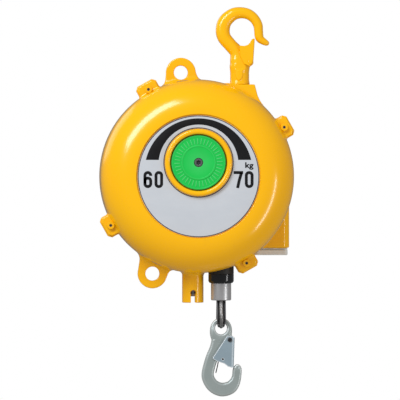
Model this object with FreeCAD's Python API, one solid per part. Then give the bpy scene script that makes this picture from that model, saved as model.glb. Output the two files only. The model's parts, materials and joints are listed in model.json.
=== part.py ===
"""Spring balancer that hangs a hand tool of 60 to 70 kg on a wire rope.

The model is drawn about the drum's axis: X to the right, Y to the rear, Z up.
Every piece is then set down so that the origin is the seat of the upper hook,
where the balancer hangs from its rail. All sizes are in millimetres.
"""
import math
import os

import FreeCAD
import Part

V = FreeCAD.Vector
X_DIR = V(1, 0, 0)
Y_DIR = V(0, 1, 0)
Z_DIR = V(0, 0, 1)

# ---- clearances -----------------------------------------------------------
RUN_FIT = 0.05        # radial play of a shaft that turns in its bore
SLIP_FIT = 0.15       # radial play of a pin or screw that is put in by hand
SEAT_GAP = 0.1        # between two flat faces that bear on each other
FREE_GAP = 0.3        # between curved faces of pieces that move apart

# ---- housing --------------------------------------------------------------
BODY_R = 120.0        # barrel of the housing
BODY_DROP = 17.0      # barrel centre below the drum's axis
WALL = 6.0
DOME_R = 43.0         # rounding from the barrel to either face
PARTING_Y = -24.0     # joint face between the two housings
REAR_BEND_LEAD = 18.0  # the rear rounding starts this far in front of the worm
CREST_DROP = 3.0      # name plate's floor behind the crest of the dome
PLATE_R = 75.0
PLATE_T = 1.0
PLATE_BORE_R = 42.0
PLATE_EDGE = 1.6      # groove left round the plate
LIP_BORE_R = 35.0     # opening that the hub cap closes
LIP_R = 41.5
LIP_RISE = 6.5        # lip in front of the plate's floor
CUP_DEPTH = 6.0       # cap's room in front of the web
WEB_T = 6.0           # web that holds the shaft's front end

# ---- ears that clamp the two housings together ------------------------------
EAR_COUNT = 4
EAR_START_DEG = 29.5
EAR_BOLT_OUT = 3.4     # bolt circle outside the barrel
EAR_REACH = 8.0       # from the bolt to the ear's outer edge
EAR_ROOT = 2.6         # ear's root inside the wall
EAR_W = 25.0
EAR_CHAMFER = 4.0
EAR_FRONT_T = 7.0
EAR_REAR_T = 9.0
EAR_STEP = 1.5        # the rear ear stands out this much all round
EAR_BOLT_D = 6.0
EAR_HEAD_D = 9.5
EAR_HEAD_H = 4.0
EAR_SOCKET_AF = 3.4
EAR_SOCKET_DEPTH = 2.4
EAR_NUT_AF = 10.0
EAR_NUT_H = 5.0
EAR_SPOT_R = 6.3      # flat cut into the barrel for the nut

# ---- rope and drum ---------------------------------------------------------
ROPE_D = 5.0
ROPE_X = 30.1         # rope line at rest, and the drum's smallest wound radius
ROPE_Y = -10.0
TURN_COUNT = 6
TURN_PITCH = 6.0      # along the drum's axis
TURN_RISE = 8.0       # growth of the winding radius from turn to turn
GROOVE_PLAY = 0.1
DRUM_RIM_R = 79.0
DRUM_RIM_T = 3.0
DRUM_HUB_R = 24.0
DRUM_WALL = 4.0
DRUM_LIP_R = 31.0
DRUM_LIP_T = 2.4
LOCK_PLATE_SPACE = 2.0  # neck between the drum's lip and its lock plate
LOCK_PLATE_R = 76.0
LOCK_PLATE_T = 5.0
NOTCH_COUNT = 8
NOTCH_DEPTH = 9.0
NOTCH_PLAY = 0.6
ROPE_GAP_DEG = 75.0   # part of the last turn that has already left the drum

# ---- main shaft and drum bearings -------------------------------------------
SHAFT_R = 10.0
SHAFT_COLLAR_R = 15.0
SHAFT_COLLAR_T = 3.0
SHAFT_THREAD_R = 8.0
BEARING_W = 9.0
BEARING_INNER_T = 2.5
BEARING_OUTER_T = 2.8
ROLLER_R = 2.1
ROLLER_COUNT = 10
ROLLER_L = 7.0
SHAFT_NUT_AF = 24.0
SHAFT_NUT_H = 9.0
SHAFT_WASHER_R = 17.0
SHAFT_WASHER_T = 2.5
SHAFT_BOSS_R = 26.0
SHAFT_BOSS_RISE = 3.0  # boss that stands out of the rear face
SHAFT_BOSS_IN = 8.0    # boss inside the rear face

# ---- spring arbor, case and main spring --------------------------------------
ARBOR_R = 24.0
ARBOR_OVERHANG = 0.8    # arbor behind the spring case
ARBOR_FLANGE_R = 34.0
ARBOR_FLANGE_T = 4.0
ARBOR_SCREW_COUNT = 3
ARBOR_SCREW_D = 4.0
ARBOR_SCREW_CIRCLE_R = 29.0
ARBOR_SCREW_HEAD_D = 7.0
CASE_R = 84.0
CASE_WALL = 3.5
CASE_FLOOR_T = 3.0
CASE_GAP = 1.2        # case floor behind the arbor's flange
CASE_DEPTH = 50.0     # outside, without its lid
LID_T = 4.0
CASE_BORE_PLAY = 0.5
SPRING_T = 1.8
SPRING_W = 42.0
SPRING_TURNS = 7
SPRING_PACKED_TURNS = 3
SPRING_PACKED_PITCH = 2.1
CASE_SCREW_COUNT = 6
CASE_SCREW_D = 5.0
CASE_SCREW_HEAD_D = 9.0
CASE_SCREW_HEAD_H = 3.0
CASE_SCREW_CIRCLE_R = 52.0
CASE_SCREW_L = 9.0

# ---- worm drive that sets the load -------------------------------------------
WORM_X = 96.0
WORM_BEHIND_LID = 12.5  # worm's axis behind the wheel's face
WORM_PITCH_R = 9.0
WORM_THREAD_H = 2.2   # above and below the pitch radius
WORM_THREAD_TIP_T = 1.6
WORM_THREAD_ROOT_T = 3.6
WORM_TURNS = 4.5
WORM_CORE_R = 6.6
WORM_JOURNAL_R = 5.0
WHEEL_TEETH = 60
WHEEL_W = 9.0
WHEEL_TIP_T = 2.0
WHEEL_ROOT_T = 4.2
WHEEL_TIP_H = 2.0
WHEEL_ROOT_H = 3.0
WHEEL_HUB_R = 22.0
WHEEL_BOLT_FLANGE_R = 62.0
WHEEL_WEB_T = 5.0
CASE_BUSH_T = 3.0
WORM_BUSH_T = 2.5
WORM_BUSH_L = 9.0
WORM_BUSH_TOP_Z = 35.0
WORM_BUSH_IN = 3.0     # lower bush above the box's floor
BOX_LEFT_OUT = 22.0    # box walls from the worm's axis
BOX_RIGHT_OUT = 23.0
BOX_FRONT_OUT = 17.0
BOX_REAR_OUT = 18.0
BOX_ROOF = 3.0         # above the upper bush
BOX_FOOT_DROP = 90.0    # box's floor below the barrel's centre
BOX_WALL = 4.0
WORM_SEAT_T = 4.0      # wall round a worm bush
WORM_SOCKET_AF = 6.0
WORM_SOCKET_DEPTH = 10.0
BOX_BORE_PLAY = 1.5
BOX_CHAMFER = 5.0
CAP_INSET_X = 2.0     # worm cap inside the box's outline, left and right
CAP_INSET_Y = 2.5
CAP_H = 9.0
CAP_EDGE = 1.5
KEY_HOLE_R = 6.0      # way through the cap for the setting key

# ---- hub cap -------------------------------------------------------------------
CAP_R = 33.6
CAP_FACE_T = 2.5
CAP_SKIRT_T = 2.5
CAP_FACE_DROP = 3.5   # cap's face behind the lip's crest
CAP_RIM_W = 13.0      # raised outer ring of the cap's face
CAP_DISH = 0.8
CAP_HOLE_R = 5.6
CAP_SLEEVE_T = 2.0
CAP_SCREW_D = 6.0
CAP_SCREW_HEAD_R = 4.9
CAP_SCREW_HEAD_H = 4.0
CAP_SCREW_L = 10.0
CAP_SCREW_AF = 5.0

# ---- suspension block and upper hook ----------------------------------------------
HOOK_X = 53.2
BLOCK_HALF_Y = 13.5
BLOCK_DROP = 6.0       # block's top below the crest of the barrel
BLOCK_H = 27.0
BLOCK_LEFT_W = 16.3    # block's sides from the hook's axis
BLOCK_RIGHT_W = 18.2
BLOCK_FOOT_W = 25.2
BLOCK_SHELF_T = 13.0   # from the block's top to the seat of the hook's washer
SHANK_H = 30.0         # from the block's top to the bend of the hook
BOWL_OFFSET = 2.7      # opening's centre right of the hook's axis
BOWL_RISE = 36.3       # and above the shank
SHANK_R = 11.7
NECK_R = 8.0
NECK_THREAD_R = 7.5
HOOK_NUT_AF = 22.0
HOOK_NUT_H = 10.0
HOOK_WASHER_R = 12.5
HOOK_WASHER_T = 2.0
SPLIT_PIN_D = 2.6
SPLIT_PIN_OVERHANG = 3.0
NECK_TAIL = 5.0       # neck below the nut
BOWL_R = 15.4
BOWL_BACK_W = 18.0    # width of the bar opposite the tip
BOWL_NOSE_W = 11.2    # width of the bar at the tip's side
UPPER_BAR_T = 16.0
UPPER_TIP_T = 9.5

# ---- upper latch ------------------------------------------------------------------
LATCH_T = 1.6
LATCH_PIN_OUT = 12.4   # latch pin right of the hook's axis
LATCH_PIN_DROP = 2.4   # and below the shank's top
LATCH_TIP_OUT = 3.4    # latch's tip from its pin
LATCH_TIP_RISE = 29.4
LATCH_HEEL_OUT = 12.7  # latch's heel from its pin
LATCH_HEEL_RISE = 19.9
LATCH_SIDE_PLAY = 3.0   # between the hook's bar and each cheek
LATCH_PIN_R = 2.0
LATCH_HEAD_R = 3.4
LATCH_HEAD_T = 1.4
LATCH_EYE_R = 4.6
CHEEK_T = 9.0         # thickness of the hook's lug that the latch pin crosses

# ---- lugs of the housing -------------------------------------------------------------
LUG_T = 10.0
LUG_Y = 4.0           # lug's middle plane
TOP_LUG_DEG = 98.6     # place round the barrel
TOP_LUG_OUT = 10.4     # hole's centre outside the barrel
TOP_LUG_R = 18.5
TOP_LUG_LEAN = 0.9      # its root lies this many degrees further round
TOP_LUG_SPREAD = 6.0   # its root is this much wider each way
LOW_LUG_DEG = -114.4
LOW_LUG_OUT = 12.9
LOW_LUG_R = 18.3
LOW_LUG_LEAN = -2.9
LOW_LUG_SPREAD = 4.0
LUG_ROOT = 19.0        # roots this deep inside the barrel
LUG_HOLE_R = 8.7

# ---- drum lock ---------------------------------------------------------------------------
LOCK_X = -4.7
LOCK_TUBE_R = 13.3
LOCK_TUBE_H = 37.0      # below the barrel
LOCK_CROSS_RISE = 12.4 # cross pin above the tube's mouth
LOCK_SEAT_RISE = 19.0  # top of the tube above the foot of the barrel
LOCK_ROOF_T = 4.0      # end wall of the tube
LOCK_SLOT_W = 5.6
LOCK_WINDOW_R = 3.4   # round window at the slot's upper end
LOCK_PIN_R = 4.0
LOCK_HEAD_R = 8.0
LOCK_BORE_R = 8.6
LOCK_PIN_GAP = 2.5    # pin's tip below the lock plate when it is free
LOCK_CROSS_R = 2.4
LOCK_SPRING_WIRE_R = 0.8
LOCK_SPRING_TURNS = 6
LOCK_HEAD_H = 9.0

# ---- rope guide, bumper, ferrule and loop ----------------------------------------------------
GUIDE_R = 9.0
GUIDE_FLANGE_R = 11.5
GUIDE_BOSS_R = 13.5
GUIDE_FLANGE_T = 3.0
GUIDE_BORE_R = 3.6
GUIDE_FLARE = 3.0
GUIDE_DROP = 1.0       # guide's mouth below the barrel
GUIDE_L = 16.0
BUMPER_R = 15.8
BUMPER_H = 11.2
BUMPER_CHAMFER = 2.6
FERRULE_R = 12.6
FERRULE_H = 21.4
FERRULE_ROUND = 1.6
LOOP_DROP = 35.2       # lowest point of the rope loop below the ferrule
THIMBLE_R = 8.0       # inside of the thimble's bend
THIMBLE_T = 1.2
THIMBLE_W = 10.6

# ---- lower hook ------------------------------------------------------------------------------
EYE_HOLE_R = 8.2
EYE_R = 13.0
EYE_T = 8.4
EYE_ROUND = 2.3
EYE_GAP = 0.4         # play between the eye and the thimble's edges
LOAD_BAR_T = 12.0
LOAD_BOWL_OFFSET = 3.3 # bowl's centre right of the rope
LOAD_BOWL_DROP = 55.6  # and below the eye's centre
LOAD_PIN_OFFSET = 10.6
LOAD_PIN_DROP = 13.9
LOAD_CHEEK_T = 9.0
LOAD_LATCH_PLAY = 0.6
LOAD_HEAD_R = 3.4
LOAD_HEAD_T = 1.3
LOAD_TIP_T = 8.0
LOAD_BOWL_R = 12.6
LOAD_BACK_W = 15.2
LOAD_BASE_W = 16.6
LOAD_NOSE_W = 9.6
LOAD_LATCH_T = 1.4
LOAD_PIN_R = 2.2


# ---- small drawing helpers ----------------------------------------------------------------
def rod_y(radius, y_low, y_high, x=0.0, z=0.0):
    """Round bar along Y."""
    return Part.makeCylinder(radius, y_high - y_low, V(x, y_low, z), Y_DIR)


def rod_z(radius, z_low, z_high, x, y):
    """Round bar along Z."""
    return Part.makeCylinder(radius, z_high - z_low, V(x, y, z_low), Z_DIR)


def tube_y(outer, inner, y_low, y_high, x=0.0, z=0.0):
    return rod_y(outer, y_low, y_high, x, z).cut(rod_y(inner, y_low, y_high, x, z))


def tube_z(outer, inner, z_low, z_high, x, y):
    return rod_z(outer, z_low, z_high, x, y).cut(rod_z(inner, z_low, z_high, x, y))


def block(x_low, x_high, y_low, y_high, z_low, z_high):
    return Part.makeBox(x_high - x_low, y_high - y_low, z_high - z_low, V(x_low, y_low, z_low))


def hexagon(across_flats, low, height, x, y, axis=Z_DIR):
    """Hexagonal prism; x and y are its place across the axis, low its start along it."""
    corner_r = across_flats / math.sqrt(3.0)
    corners = []
    for step in range(7):
        turn = math.radians(60.0 * step + 30.0)
        across = x + corner_r * math.cos(turn)
        up = y + corner_r * math.sin(turn)
        corners.append(V(across, up, low) if axis == Z_DIR else V(across, low, up))
    return Part.Face(Part.makePolygon(corners)).extrude(axis * height)


def turned(edges, centre_z=0.0):
    """Solid turned about an axis along Y from edges drawn as (radius, y)."""
    face = Part.Face(Part.Wire(edges))
    face.translate(V(0, 0, centre_z))
    return face.revolve(V(0, 0, centre_z), Y_DIR, 360)


def chain(points):
    """Edges through (radius, y) points. A three-number point bends the edge before it:
    (radius, y, "bend") is the middle of an arc between its neighbours."""
    edges = []
    start = V(points[0][0], points[0][1], 0)
    first = start
    bend = None
    for point in points[1:]:
        here = V(point[0], point[1], 0)
        if len(point) == 3:
            bend = here
            continue
        if bend is None:
            edges.append(Part.LineSegment(start, here).toShape())
        else:
            edges.append(Part.Arc(start, bend, here).toShape())
        bend = None
        start = here
    edges.append(Part.LineSegment(start, first).toShape())
    return edges


def plate_xz(points, y_low, y_high):
    """Flat plate along Y with a polygon outline of (x, z) corners."""
    corners = [V(x, y_low, z) for x, z in points]
    corners.append(corners[0])
    return Part.Face(Part.makePolygon(corners)).extrude(V(0, y_high - y_low, 0))


def joined(shapes):
    solid = shapes[0]
    for shape in shapes[1:]:
        solid = solid.fuse(shape)
    return solid.removeSplitter()


def on_circle(radius, degrees, centre_x=0.0, centre_z=0.0):
    turn = math.radians(degrees)
    return centre_x + radius * math.cos(turn), centre_z + radius * math.sin(turn)


def bar_section(x, z, heading, width, thickness, roundness):
    """Rounded rectangle across a bar that runs in the XZ plane."""
    run = V(math.cos(heading), 0, math.sin(heading))
    side = V(-run.z, 0, run.x)
    centre = V(x, 0, z)
    half_w = width / 2.0
    half_t = thickness / 2.0
    corner = roundness * min(half_w, half_t)
    cut = corner * (1.0 - math.sqrt(0.5))

    def at(across, deep):
        return centre + side * across + Y_DIR * deep

    edges = []
    signs = [(1, 1), (-1, 1), (-1, -1), (1, -1)]
    for number, (sign_w, sign_t) in enumerate(signs):
        along_w = at(sign_w * (half_w - corner), sign_t * half_t)
        along_t = at(sign_w * half_w, sign_t * (half_t - corner))
        middle = at(sign_w * (half_w - cut), sign_t * (half_t - cut))
        turn_in = number % 2 == 0
        start = along_t if turn_in else along_w
        end = along_w if turn_in else along_t
        edges.append(Part.Arc(start, middle, end).toShape())
        next_w, next_t = signs[(number + 1) % 4]
        if turn_in:
            following = at(next_w * (half_w - corner), next_t * half_t)
        else:
            following = at(next_w * half_w, next_t * (half_t - corner))
        edges.append(Part.LineSegment(end, following).toShape())
    return Part.Wire(edges)


def forged_bar(stations, y, roundness):
    """Bar lofted through (x, z, heading in degrees, width, thickness) stations."""
    sections = []
    for x, z, heading, width, thickness in stations:
        sections.append(bar_section(x, z, math.radians(heading), width, thickness, roundness))
    bar = Part.makeLoft(sections, True, False)
    bar.translate(V(0, y, 0))
    return bar


# ---- housing sizes that follow ---------------------------------------------------------------
# drum, arbor and spring case, from front to rear
GROOVE_R = ROPE_D / 2.0 + GROOVE_PLAY
LAST_TURN_R = ROPE_X + TURN_RISE * (TURN_COUNT - 1)
LAST_TURN_Y = ROPE_Y - TURN_PITCH * (TURN_COUNT - 1)
DRUM_FRONT_Y = LAST_TURN_Y - GROOVE_R - DRUM_RIM_T
DRUM_LIP_Y = ROPE_Y + GROOVE_R
LOCK_PLATE_Y = DRUM_LIP_Y + DRUM_LIP_T + LOCK_PLATE_SPACE
LOCK_Y = LOCK_PLATE_Y + LOCK_PLATE_T / 2.0
DRUM_REAR_Y = LOCK_PLATE_Y + LOCK_PLATE_T
ARBOR_Y = DRUM_REAR_Y + SEAT_GAP
CASE_Y = ARBOR_Y + ARBOR_FLANGE_T + CASE_GAP
CASE_REAR_Y = CASE_Y + CASE_DEPTH
ARBOR_REAR_Y = CASE_REAR_Y + ARBOR_OVERHANG
LID_Y = CASE_REAR_Y + SEAT_GAP
WHEEL_FACE_Y = LID_Y + LID_T + SEAT_GAP
WHEEL_PITCH_R = WORM_X - WORM_PITCH_R
TOOTH_PITCH = 2.0 * math.pi * WHEEL_PITCH_R / WHEEL_TEETH
WORM_Y = WHEEL_FACE_Y + WORM_BEHIND_LID

# bearings
BEARING_RACE_R = SHAFT_R + RUN_FIT + BEARING_INNER_T
ROLLER_CIRCLE_R = BEARING_RACE_R + RUN_FIT + ROLLER_R
OUTER_RACE_R = ROLLER_CIRCLE_R + ROLLER_R + RUN_FIT
BEARING_SEAT_R = OUTER_RACE_R + BEARING_OUTER_T + RUN_FIT
FRONT_BEARING_Y = DRUM_FRONT_Y + 1.0
REAR_BEARING_Y = ARBOR_REAR_Y - 1.0 - BEARING_W

# housings
REAR_BEND_Y = WORM_Y - REAR_BEND_LEAD
CREST_Y = PARTING_Y - DOME_R
FLOOR_Y = CREST_Y + CREST_DROP
PLATE_FRONT_Y = FLOOR_Y - SEAT_GAP - PLATE_T
FRONT_INSIDE_Y = FLOOR_Y + WALL
LIP_Y = FLOOR_Y - LIP_RISE
WEB_FRONT_Y = FLOOR_Y + CUP_DEPTH
WEB_REAR_Y = WEB_FRONT_Y + WEB_T
REAR_FACE_Y = REAR_BEND_Y + DOME_R
REAR_INSIDE_Y = REAR_FACE_Y - WALL
BOSS_FACE_Y = REAR_FACE_Y + SHAFT_BOSS_RISE
INNER_DOME_R = DOME_R - WALL
BODY_FOOT_Z = -BODY_DROP - BODY_R
EAR_BOLT_R = BODY_R + EAR_BOLT_OUT
SHAFT_FRONT_Y = WEB_FRONT_Y - SEAT_GAP - SHAFT_COLLAR_T
CAP_SCREW_SEAT_Y = SHAFT_FRONT_Y - SEAT_GAP
TOP_LUG_X, TOP_LUG_Z = on_circle(BODY_R + TOP_LUG_OUT, TOP_LUG_DEG, 0.0, -BODY_DROP)
LOW_LUG_X, LOW_LUG_Z = on_circle(BODY_R + LOW_LUG_OUT, LOW_LUG_DEG, 0.0, -BODY_DROP)

# worm box
BOX_LEFT_X = WORM_X - BOX_LEFT_OUT
BOX_RIGHT_X = WORM_X + BOX_RIGHT_OUT
BOX_FRONT_Y = WORM_Y - BOX_FRONT_OUT
BOX_REAR_Y = WORM_Y + BOX_REAR_OUT
BOX_TOP_Z = WORM_BUSH_TOP_Z + WORM_BUSH_L + BOX_ROOF
BOX_FLOOR_Z = -BODY_DROP - BOX_FOOT_DROP
WORM_BUSH_LOW_Z = BOX_FLOOR_Z + WORM_BUSH_IN
WORM_SEAT_R = WORM_JOURNAL_R + WORM_BUSH_T + WORM_SEAT_T
WORM_BORE_R = WORM_PITCH_R + WORM_THREAD_H + BOX_BORE_PLAY

# upper hook
BLOCK_TOP_Z = -BODY_DROP + BODY_R - BLOCK_DROP
BLOCK_FOOT_Z = BLOCK_TOP_Z - BLOCK_H
BLOCK_LEFT_X = HOOK_X - BLOCK_LEFT_W
BLOCK_TOP_RIGHT_X = HOOK_X + BLOCK_RIGHT_W
BLOCK_FOOT_RIGHT_X = HOOK_X + BLOCK_FOOT_W
BLOCK_SEAT_Z = BLOCK_TOP_Z - BLOCK_SHELF_T
SHANK_TOP_Z = BLOCK_TOP_Z + SHANK_H
SPLIT_PIN_Z = BLOCK_SEAT_Z - HOOK_WASHER_T - HOOK_NUT_H - 2.0 * SEAT_GAP - NECK_TAIL / 2.0
BOWL_X = HOOK_X + BOWL_OFFSET
BOWL_Z = SHANK_TOP_Z + BOWL_RISE
LATCH_PIN_X = HOOK_X + LATCH_PIN_OUT
LATCH_PIN_Z = SHANK_TOP_Z - LATCH_PIN_DROP
LATCH_TIP_X = LATCH_PIN_X + LATCH_TIP_OUT
LATCH_TIP_Z = LATCH_PIN_Z + LATCH_TIP_RISE
LATCH_HEEL_X = LATCH_PIN_X - LATCH_HEEL_OUT
LATCH_HEEL_Z = LATCH_PIN_Z + LATCH_HEEL_RISE
UPPER_LATCH_HALF = UPPER_BAR_T / 2.0 + LATCH_SIDE_PLAY

# drum lock
LOCK_TUBE_LOW_Z = BODY_FOOT_Z - LOCK_TUBE_H
LOCK_CROSS_Z = LOCK_TUBE_LOW_Z + LOCK_CROSS_RISE
LOCK_SEAT_Z = BODY_FOOT_Z + LOCK_SEAT_RISE
LOCK_TIP_Z = -LOCK_PLATE_R - LOCK_PIN_GAP
LOCK_HEAD_Z = LOCK_CROSS_Z + LOCK_HEAD_H / 2.0

# rope end and lower hook
GUIDE_LOW_Z = BODY_FOOT_Z - GUIDE_DROP
GUIDE_TOP_Z = GUIDE_LOW_Z + GUIDE_L
BUMPER_TOP_Z = GUIDE_LOW_Z - FREE_GAP
FERRULE_TOP_Z = BUMPER_TOP_Z - BUMPER_H - SEAT_GAP
FERRULE_LOW_Z = FERRULE_TOP_Z - FERRULE_H
LOOP_LOW_Z = FERRULE_LOW_Z - LOOP_DROP
LOOP_R = THIMBLE_R + THIMBLE_T + ROPE_D / 2.0
LOOP_CENTRE_Z = LOOP_LOW_Z + LOOP_R + ROPE_D / 2.0
EYE_Z = LOOP_CENTRE_Z - THIMBLE_R + EYE_GAP - math.sqrt(EYE_HOLE_R ** 2 - (THIMBLE_W / 2.0) ** 2)
LOAD_BOWL_X = ROPE_X + LOAD_BOWL_OFFSET
LOAD_BOWL_Z = EYE_Z - LOAD_BOWL_DROP
LOAD_PIN_X = ROPE_X + LOAD_PIN_OFFSET
LOAD_PIN_Z = EYE_Z - LOAD_PIN_DROP
LOAD_LATCH_HALF = LOAD_BAR_T / 2.0 + LOAD_LATCH_PLAY


def ear_places():
    """Angle and place of each ear's bolt."""
    places = []
    for number in range(EAR_COUNT):
        degrees = EAR_START_DEG + 360.0 / EAR_COUNT * number
        x, z = on_circle(EAR_BOLT_R, degrees, 0.0, -BODY_DROP)
        places.append((degrees, x, z))
    return places


def ear(degrees, y_low, y_high, spread):
    """Chamfered pad that stands out of the barrel, drawn at angle 0 and turned."""
    outer = EAR_BOLT_R + EAR_REACH + spread
    root = BODY_R - WALL - EAR_ROOT
    half = EAR_W / 2.0 + spread
    outline = [
        (root, -half),
        (outer - EAR_CHAMFER, -half),
        (outer, -half + EAR_CHAMFER),
        (outer, half - EAR_CHAMFER),
        (outer - EAR_CHAMFER, half),
        (root, half),
    ]
    pad = plate_xz(outline, y_low, y_high)
    pad.rotate(V(0, 0, 0), Y_DIR, -degrees)
    pad.translate(V(0, 0, -BODY_DROP))
    return pad


def front_housing():
    """Dome with the name plate's floor, the hub's lip and cup, and four ears."""
    dome = rounded_drum(BODY_R, CREST_Y, PARTING_Y + WALL, DOME_R, 0.0)
    dome = dome.cut(rod_y(2.0 * BODY_R, PARTING_Y, PARTING_Y + 2.0 * WALL))
    floor = rod_y(PLATE_R + PLATE_EDGE, CREST_Y, FLOOR_Y, 0.0, -BODY_DROP)
    shell = dome.cut(floor).cut(inner_space())
    lip_mid = (LIP_R + LIP_BORE_R) / 2.0
    cup = turned(chain([
        (0.0, WEB_FRONT_Y),
        (LIP_BORE_R, WEB_FRONT_Y),
        (LIP_BORE_R, LIP_Y + 2.0),
        (lip_mid, LIP_Y, "bend"),
        (LIP_R, LIP_Y + 2.0),
        (LIP_R, WEB_REAR_Y - 2.0),
        (LIP_R - 2.0, WEB_REAR_Y),
        (0.0, WEB_REAR_Y),
    ]))
    shell = shell.cut(rod_y(LIP_BORE_R, LIP_Y, WEB_REAR_Y))
    shapes = [shell, cup]
    keep_out = inner_space()
    for degrees, x, z in ear_places():
        shapes.append(ear(degrees, PARTING_Y - EAR_FRONT_T, PARTING_Y, 0.0).cut(keep_out))
    solid = joined(shapes)
    solid = solid.cut(rod_y(SHAFT_R + SLIP_FIT, WEB_FRONT_Y, WEB_REAR_Y))
    ear_face_y = PARTING_Y - EAR_FRONT_T
    for degrees, x, z in ear_places():
        solid = solid.cut(rod_y(EAR_BOLT_D / 2.0 + SLIP_FIT, ear_face_y, PARTING_Y, x, z))
        solid = solid.cut(rod_y(EAR_HEAD_D / 2.0 + FREE_GAP, ear_face_y - 2.0 * EAR_HEAD_H, ear_face_y, x, z))
    return solid


def rounded_drum(radius, y_low, y_high, low_round, high_round):
    """Short cylinder along Y about the barrel's centre, its two rims rounded."""
    solid = rod_y(radius, y_low, y_high, 0.0, -BODY_DROP)
    for y, size in ((y_low, low_round), (y_high, high_round)):
        if size > 0.0:
            rim = [edge for edge in solid.Edges
                   if edge.BoundBox.YMax < y + 0.01 and edge.BoundBox.YMin > y - 0.01]
            solid = solid.makeFillet(size, rim)
    return solid


def inner_space():
    """Room inside the two housings."""
    return rounded_drum(BODY_R - WALL, FRONT_INSIDE_Y, REAR_INSIDE_Y,
                        PARTING_Y - FRONT_INSIDE_Y, INNER_DOME_R)


def lug(x, z, radius, root_deg, spread):
    """Flat lug: a round end and straight sides that widen to the housing's wall."""
    root_x, root_z = on_circle(BODY_R - LUG_ROOT, root_deg, 0.0, -BODY_DROP)
    end = rod_y(radius, LUG_Y - LUG_T / 2.0, LUG_Y + LUG_T / 2.0, x, z)
    reach = math.hypot(root_x - x, root_z - z)
    lean = math.atan2(root_z - z, root_x - x)
    outline = [
        (0.0, radius),
        (reach, radius + spread),
        (reach, -radius - spread),
        (0.0, -radius),
    ]
    web = plate_xz(outline, LUG_Y - LUG_T / 2.0, LUG_Y + LUG_T / 2.0)
    web.rotate(V(0, 0, 0), Y_DIR, -math.degrees(lean))
    web.translate(V(x, 0, z))
    return end.fuse(web)


def suspension_block():
    outline = [
        (BLOCK_LEFT_X, BLOCK_FOOT_Z),
        (BLOCK_LEFT_X, BLOCK_TOP_Z),
        (BLOCK_TOP_RIGHT_X, BLOCK_TOP_Z),
        (BLOCK_FOOT_RIGHT_X, BLOCK_FOOT_Z),
    ]
    return plate_xz(outline, ROPE_Y - BLOCK_HALF_Y, ROPE_Y + BLOCK_HALF_Y)


def worm_box():
    solid = block(BOX_LEFT_X, BOX_RIGHT_X, BOX_FRONT_Y, BOX_REAR_Y, BOX_FLOOR_Z, BOX_TOP_Z)
    upright = [edge for edge in solid.Edges
               if abs(edge.tangentAt(0).z) > 0.9 and edge.BoundBox.XMin > BOX_RIGHT_X - 1.0]
    return solid.makeChamfer(BOX_CHAMFER, upright)


def rear_housing():
    """Barrel and rear dome with the suspension block, lugs, lock tube and worm box."""
    barrel = rounded_drum(BODY_R, PARTING_Y, REAR_FACE_Y, 0.0, DOME_R)
    shapes = [barrel, suspension_block(), worm_box()]
    shapes.append(rod_y(SHAFT_BOSS_R, REAR_INSIDE_Y, BOSS_FACE_Y))
    shapes.append(lug(TOP_LUG_X, TOP_LUG_Z, TOP_LUG_R, TOP_LUG_DEG + TOP_LUG_LEAN, TOP_LUG_SPREAD))
    shapes.append(lug(LOW_LUG_X, LOW_LUG_Z, LOW_LUG_R, LOW_LUG_DEG + LOW_LUG_LEAN, LOW_LUG_SPREAD))
    shapes.append(rod_z(LOCK_TUBE_R, LOCK_TUBE_LOW_Z, BODY_FOOT_Z + WALL, LOCK_X, LOCK_Y))
    shapes.append(rod_z(GUIDE_BOSS_R, GUIDE_LOW_Z + GUIDE_FLANGE_T, BODY_FOOT_Z + WALL,
                        ROPE_X, ROPE_Y))
    for degrees, x, z in ear_places():
        shapes.append(ear(degrees, PARTING_Y, PARTING_Y + EAR_REAR_T, EAR_STEP))
    solid = joined(shapes).cut(inner_space())
    inner = [rod_y(SHAFT_BOSS_R, REAR_INSIDE_Y - SHAFT_BOSS_IN, REAR_FACE_Y),
             rod_z(LOCK_TUBE_R, BODY_FOOT_Z, LOCK_SEAT_Z, LOCK_X, LOCK_Y),
             rod_z(GUIDE_BOSS_R, BODY_FOOT_Z + WALL / 2.0, GUIDE_TOP_Z, ROPE_X, ROPE_Y),
             block(WORM_X - WORM_SEAT_R, BOX_RIGHT_X - BOX_CHAMFER, BOX_FRONT_Y + BOX_WALL,
                   BOX_REAR_Y - BOX_WALL, WORM_BUSH_TOP_Z, WORM_BUSH_TOP_Z + WORM_BUSH_L)]
    solid = joined([solid] + inner)
    for tool in rear_housing_bores():
        solid = solid.cut(tool)
    return solid




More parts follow.
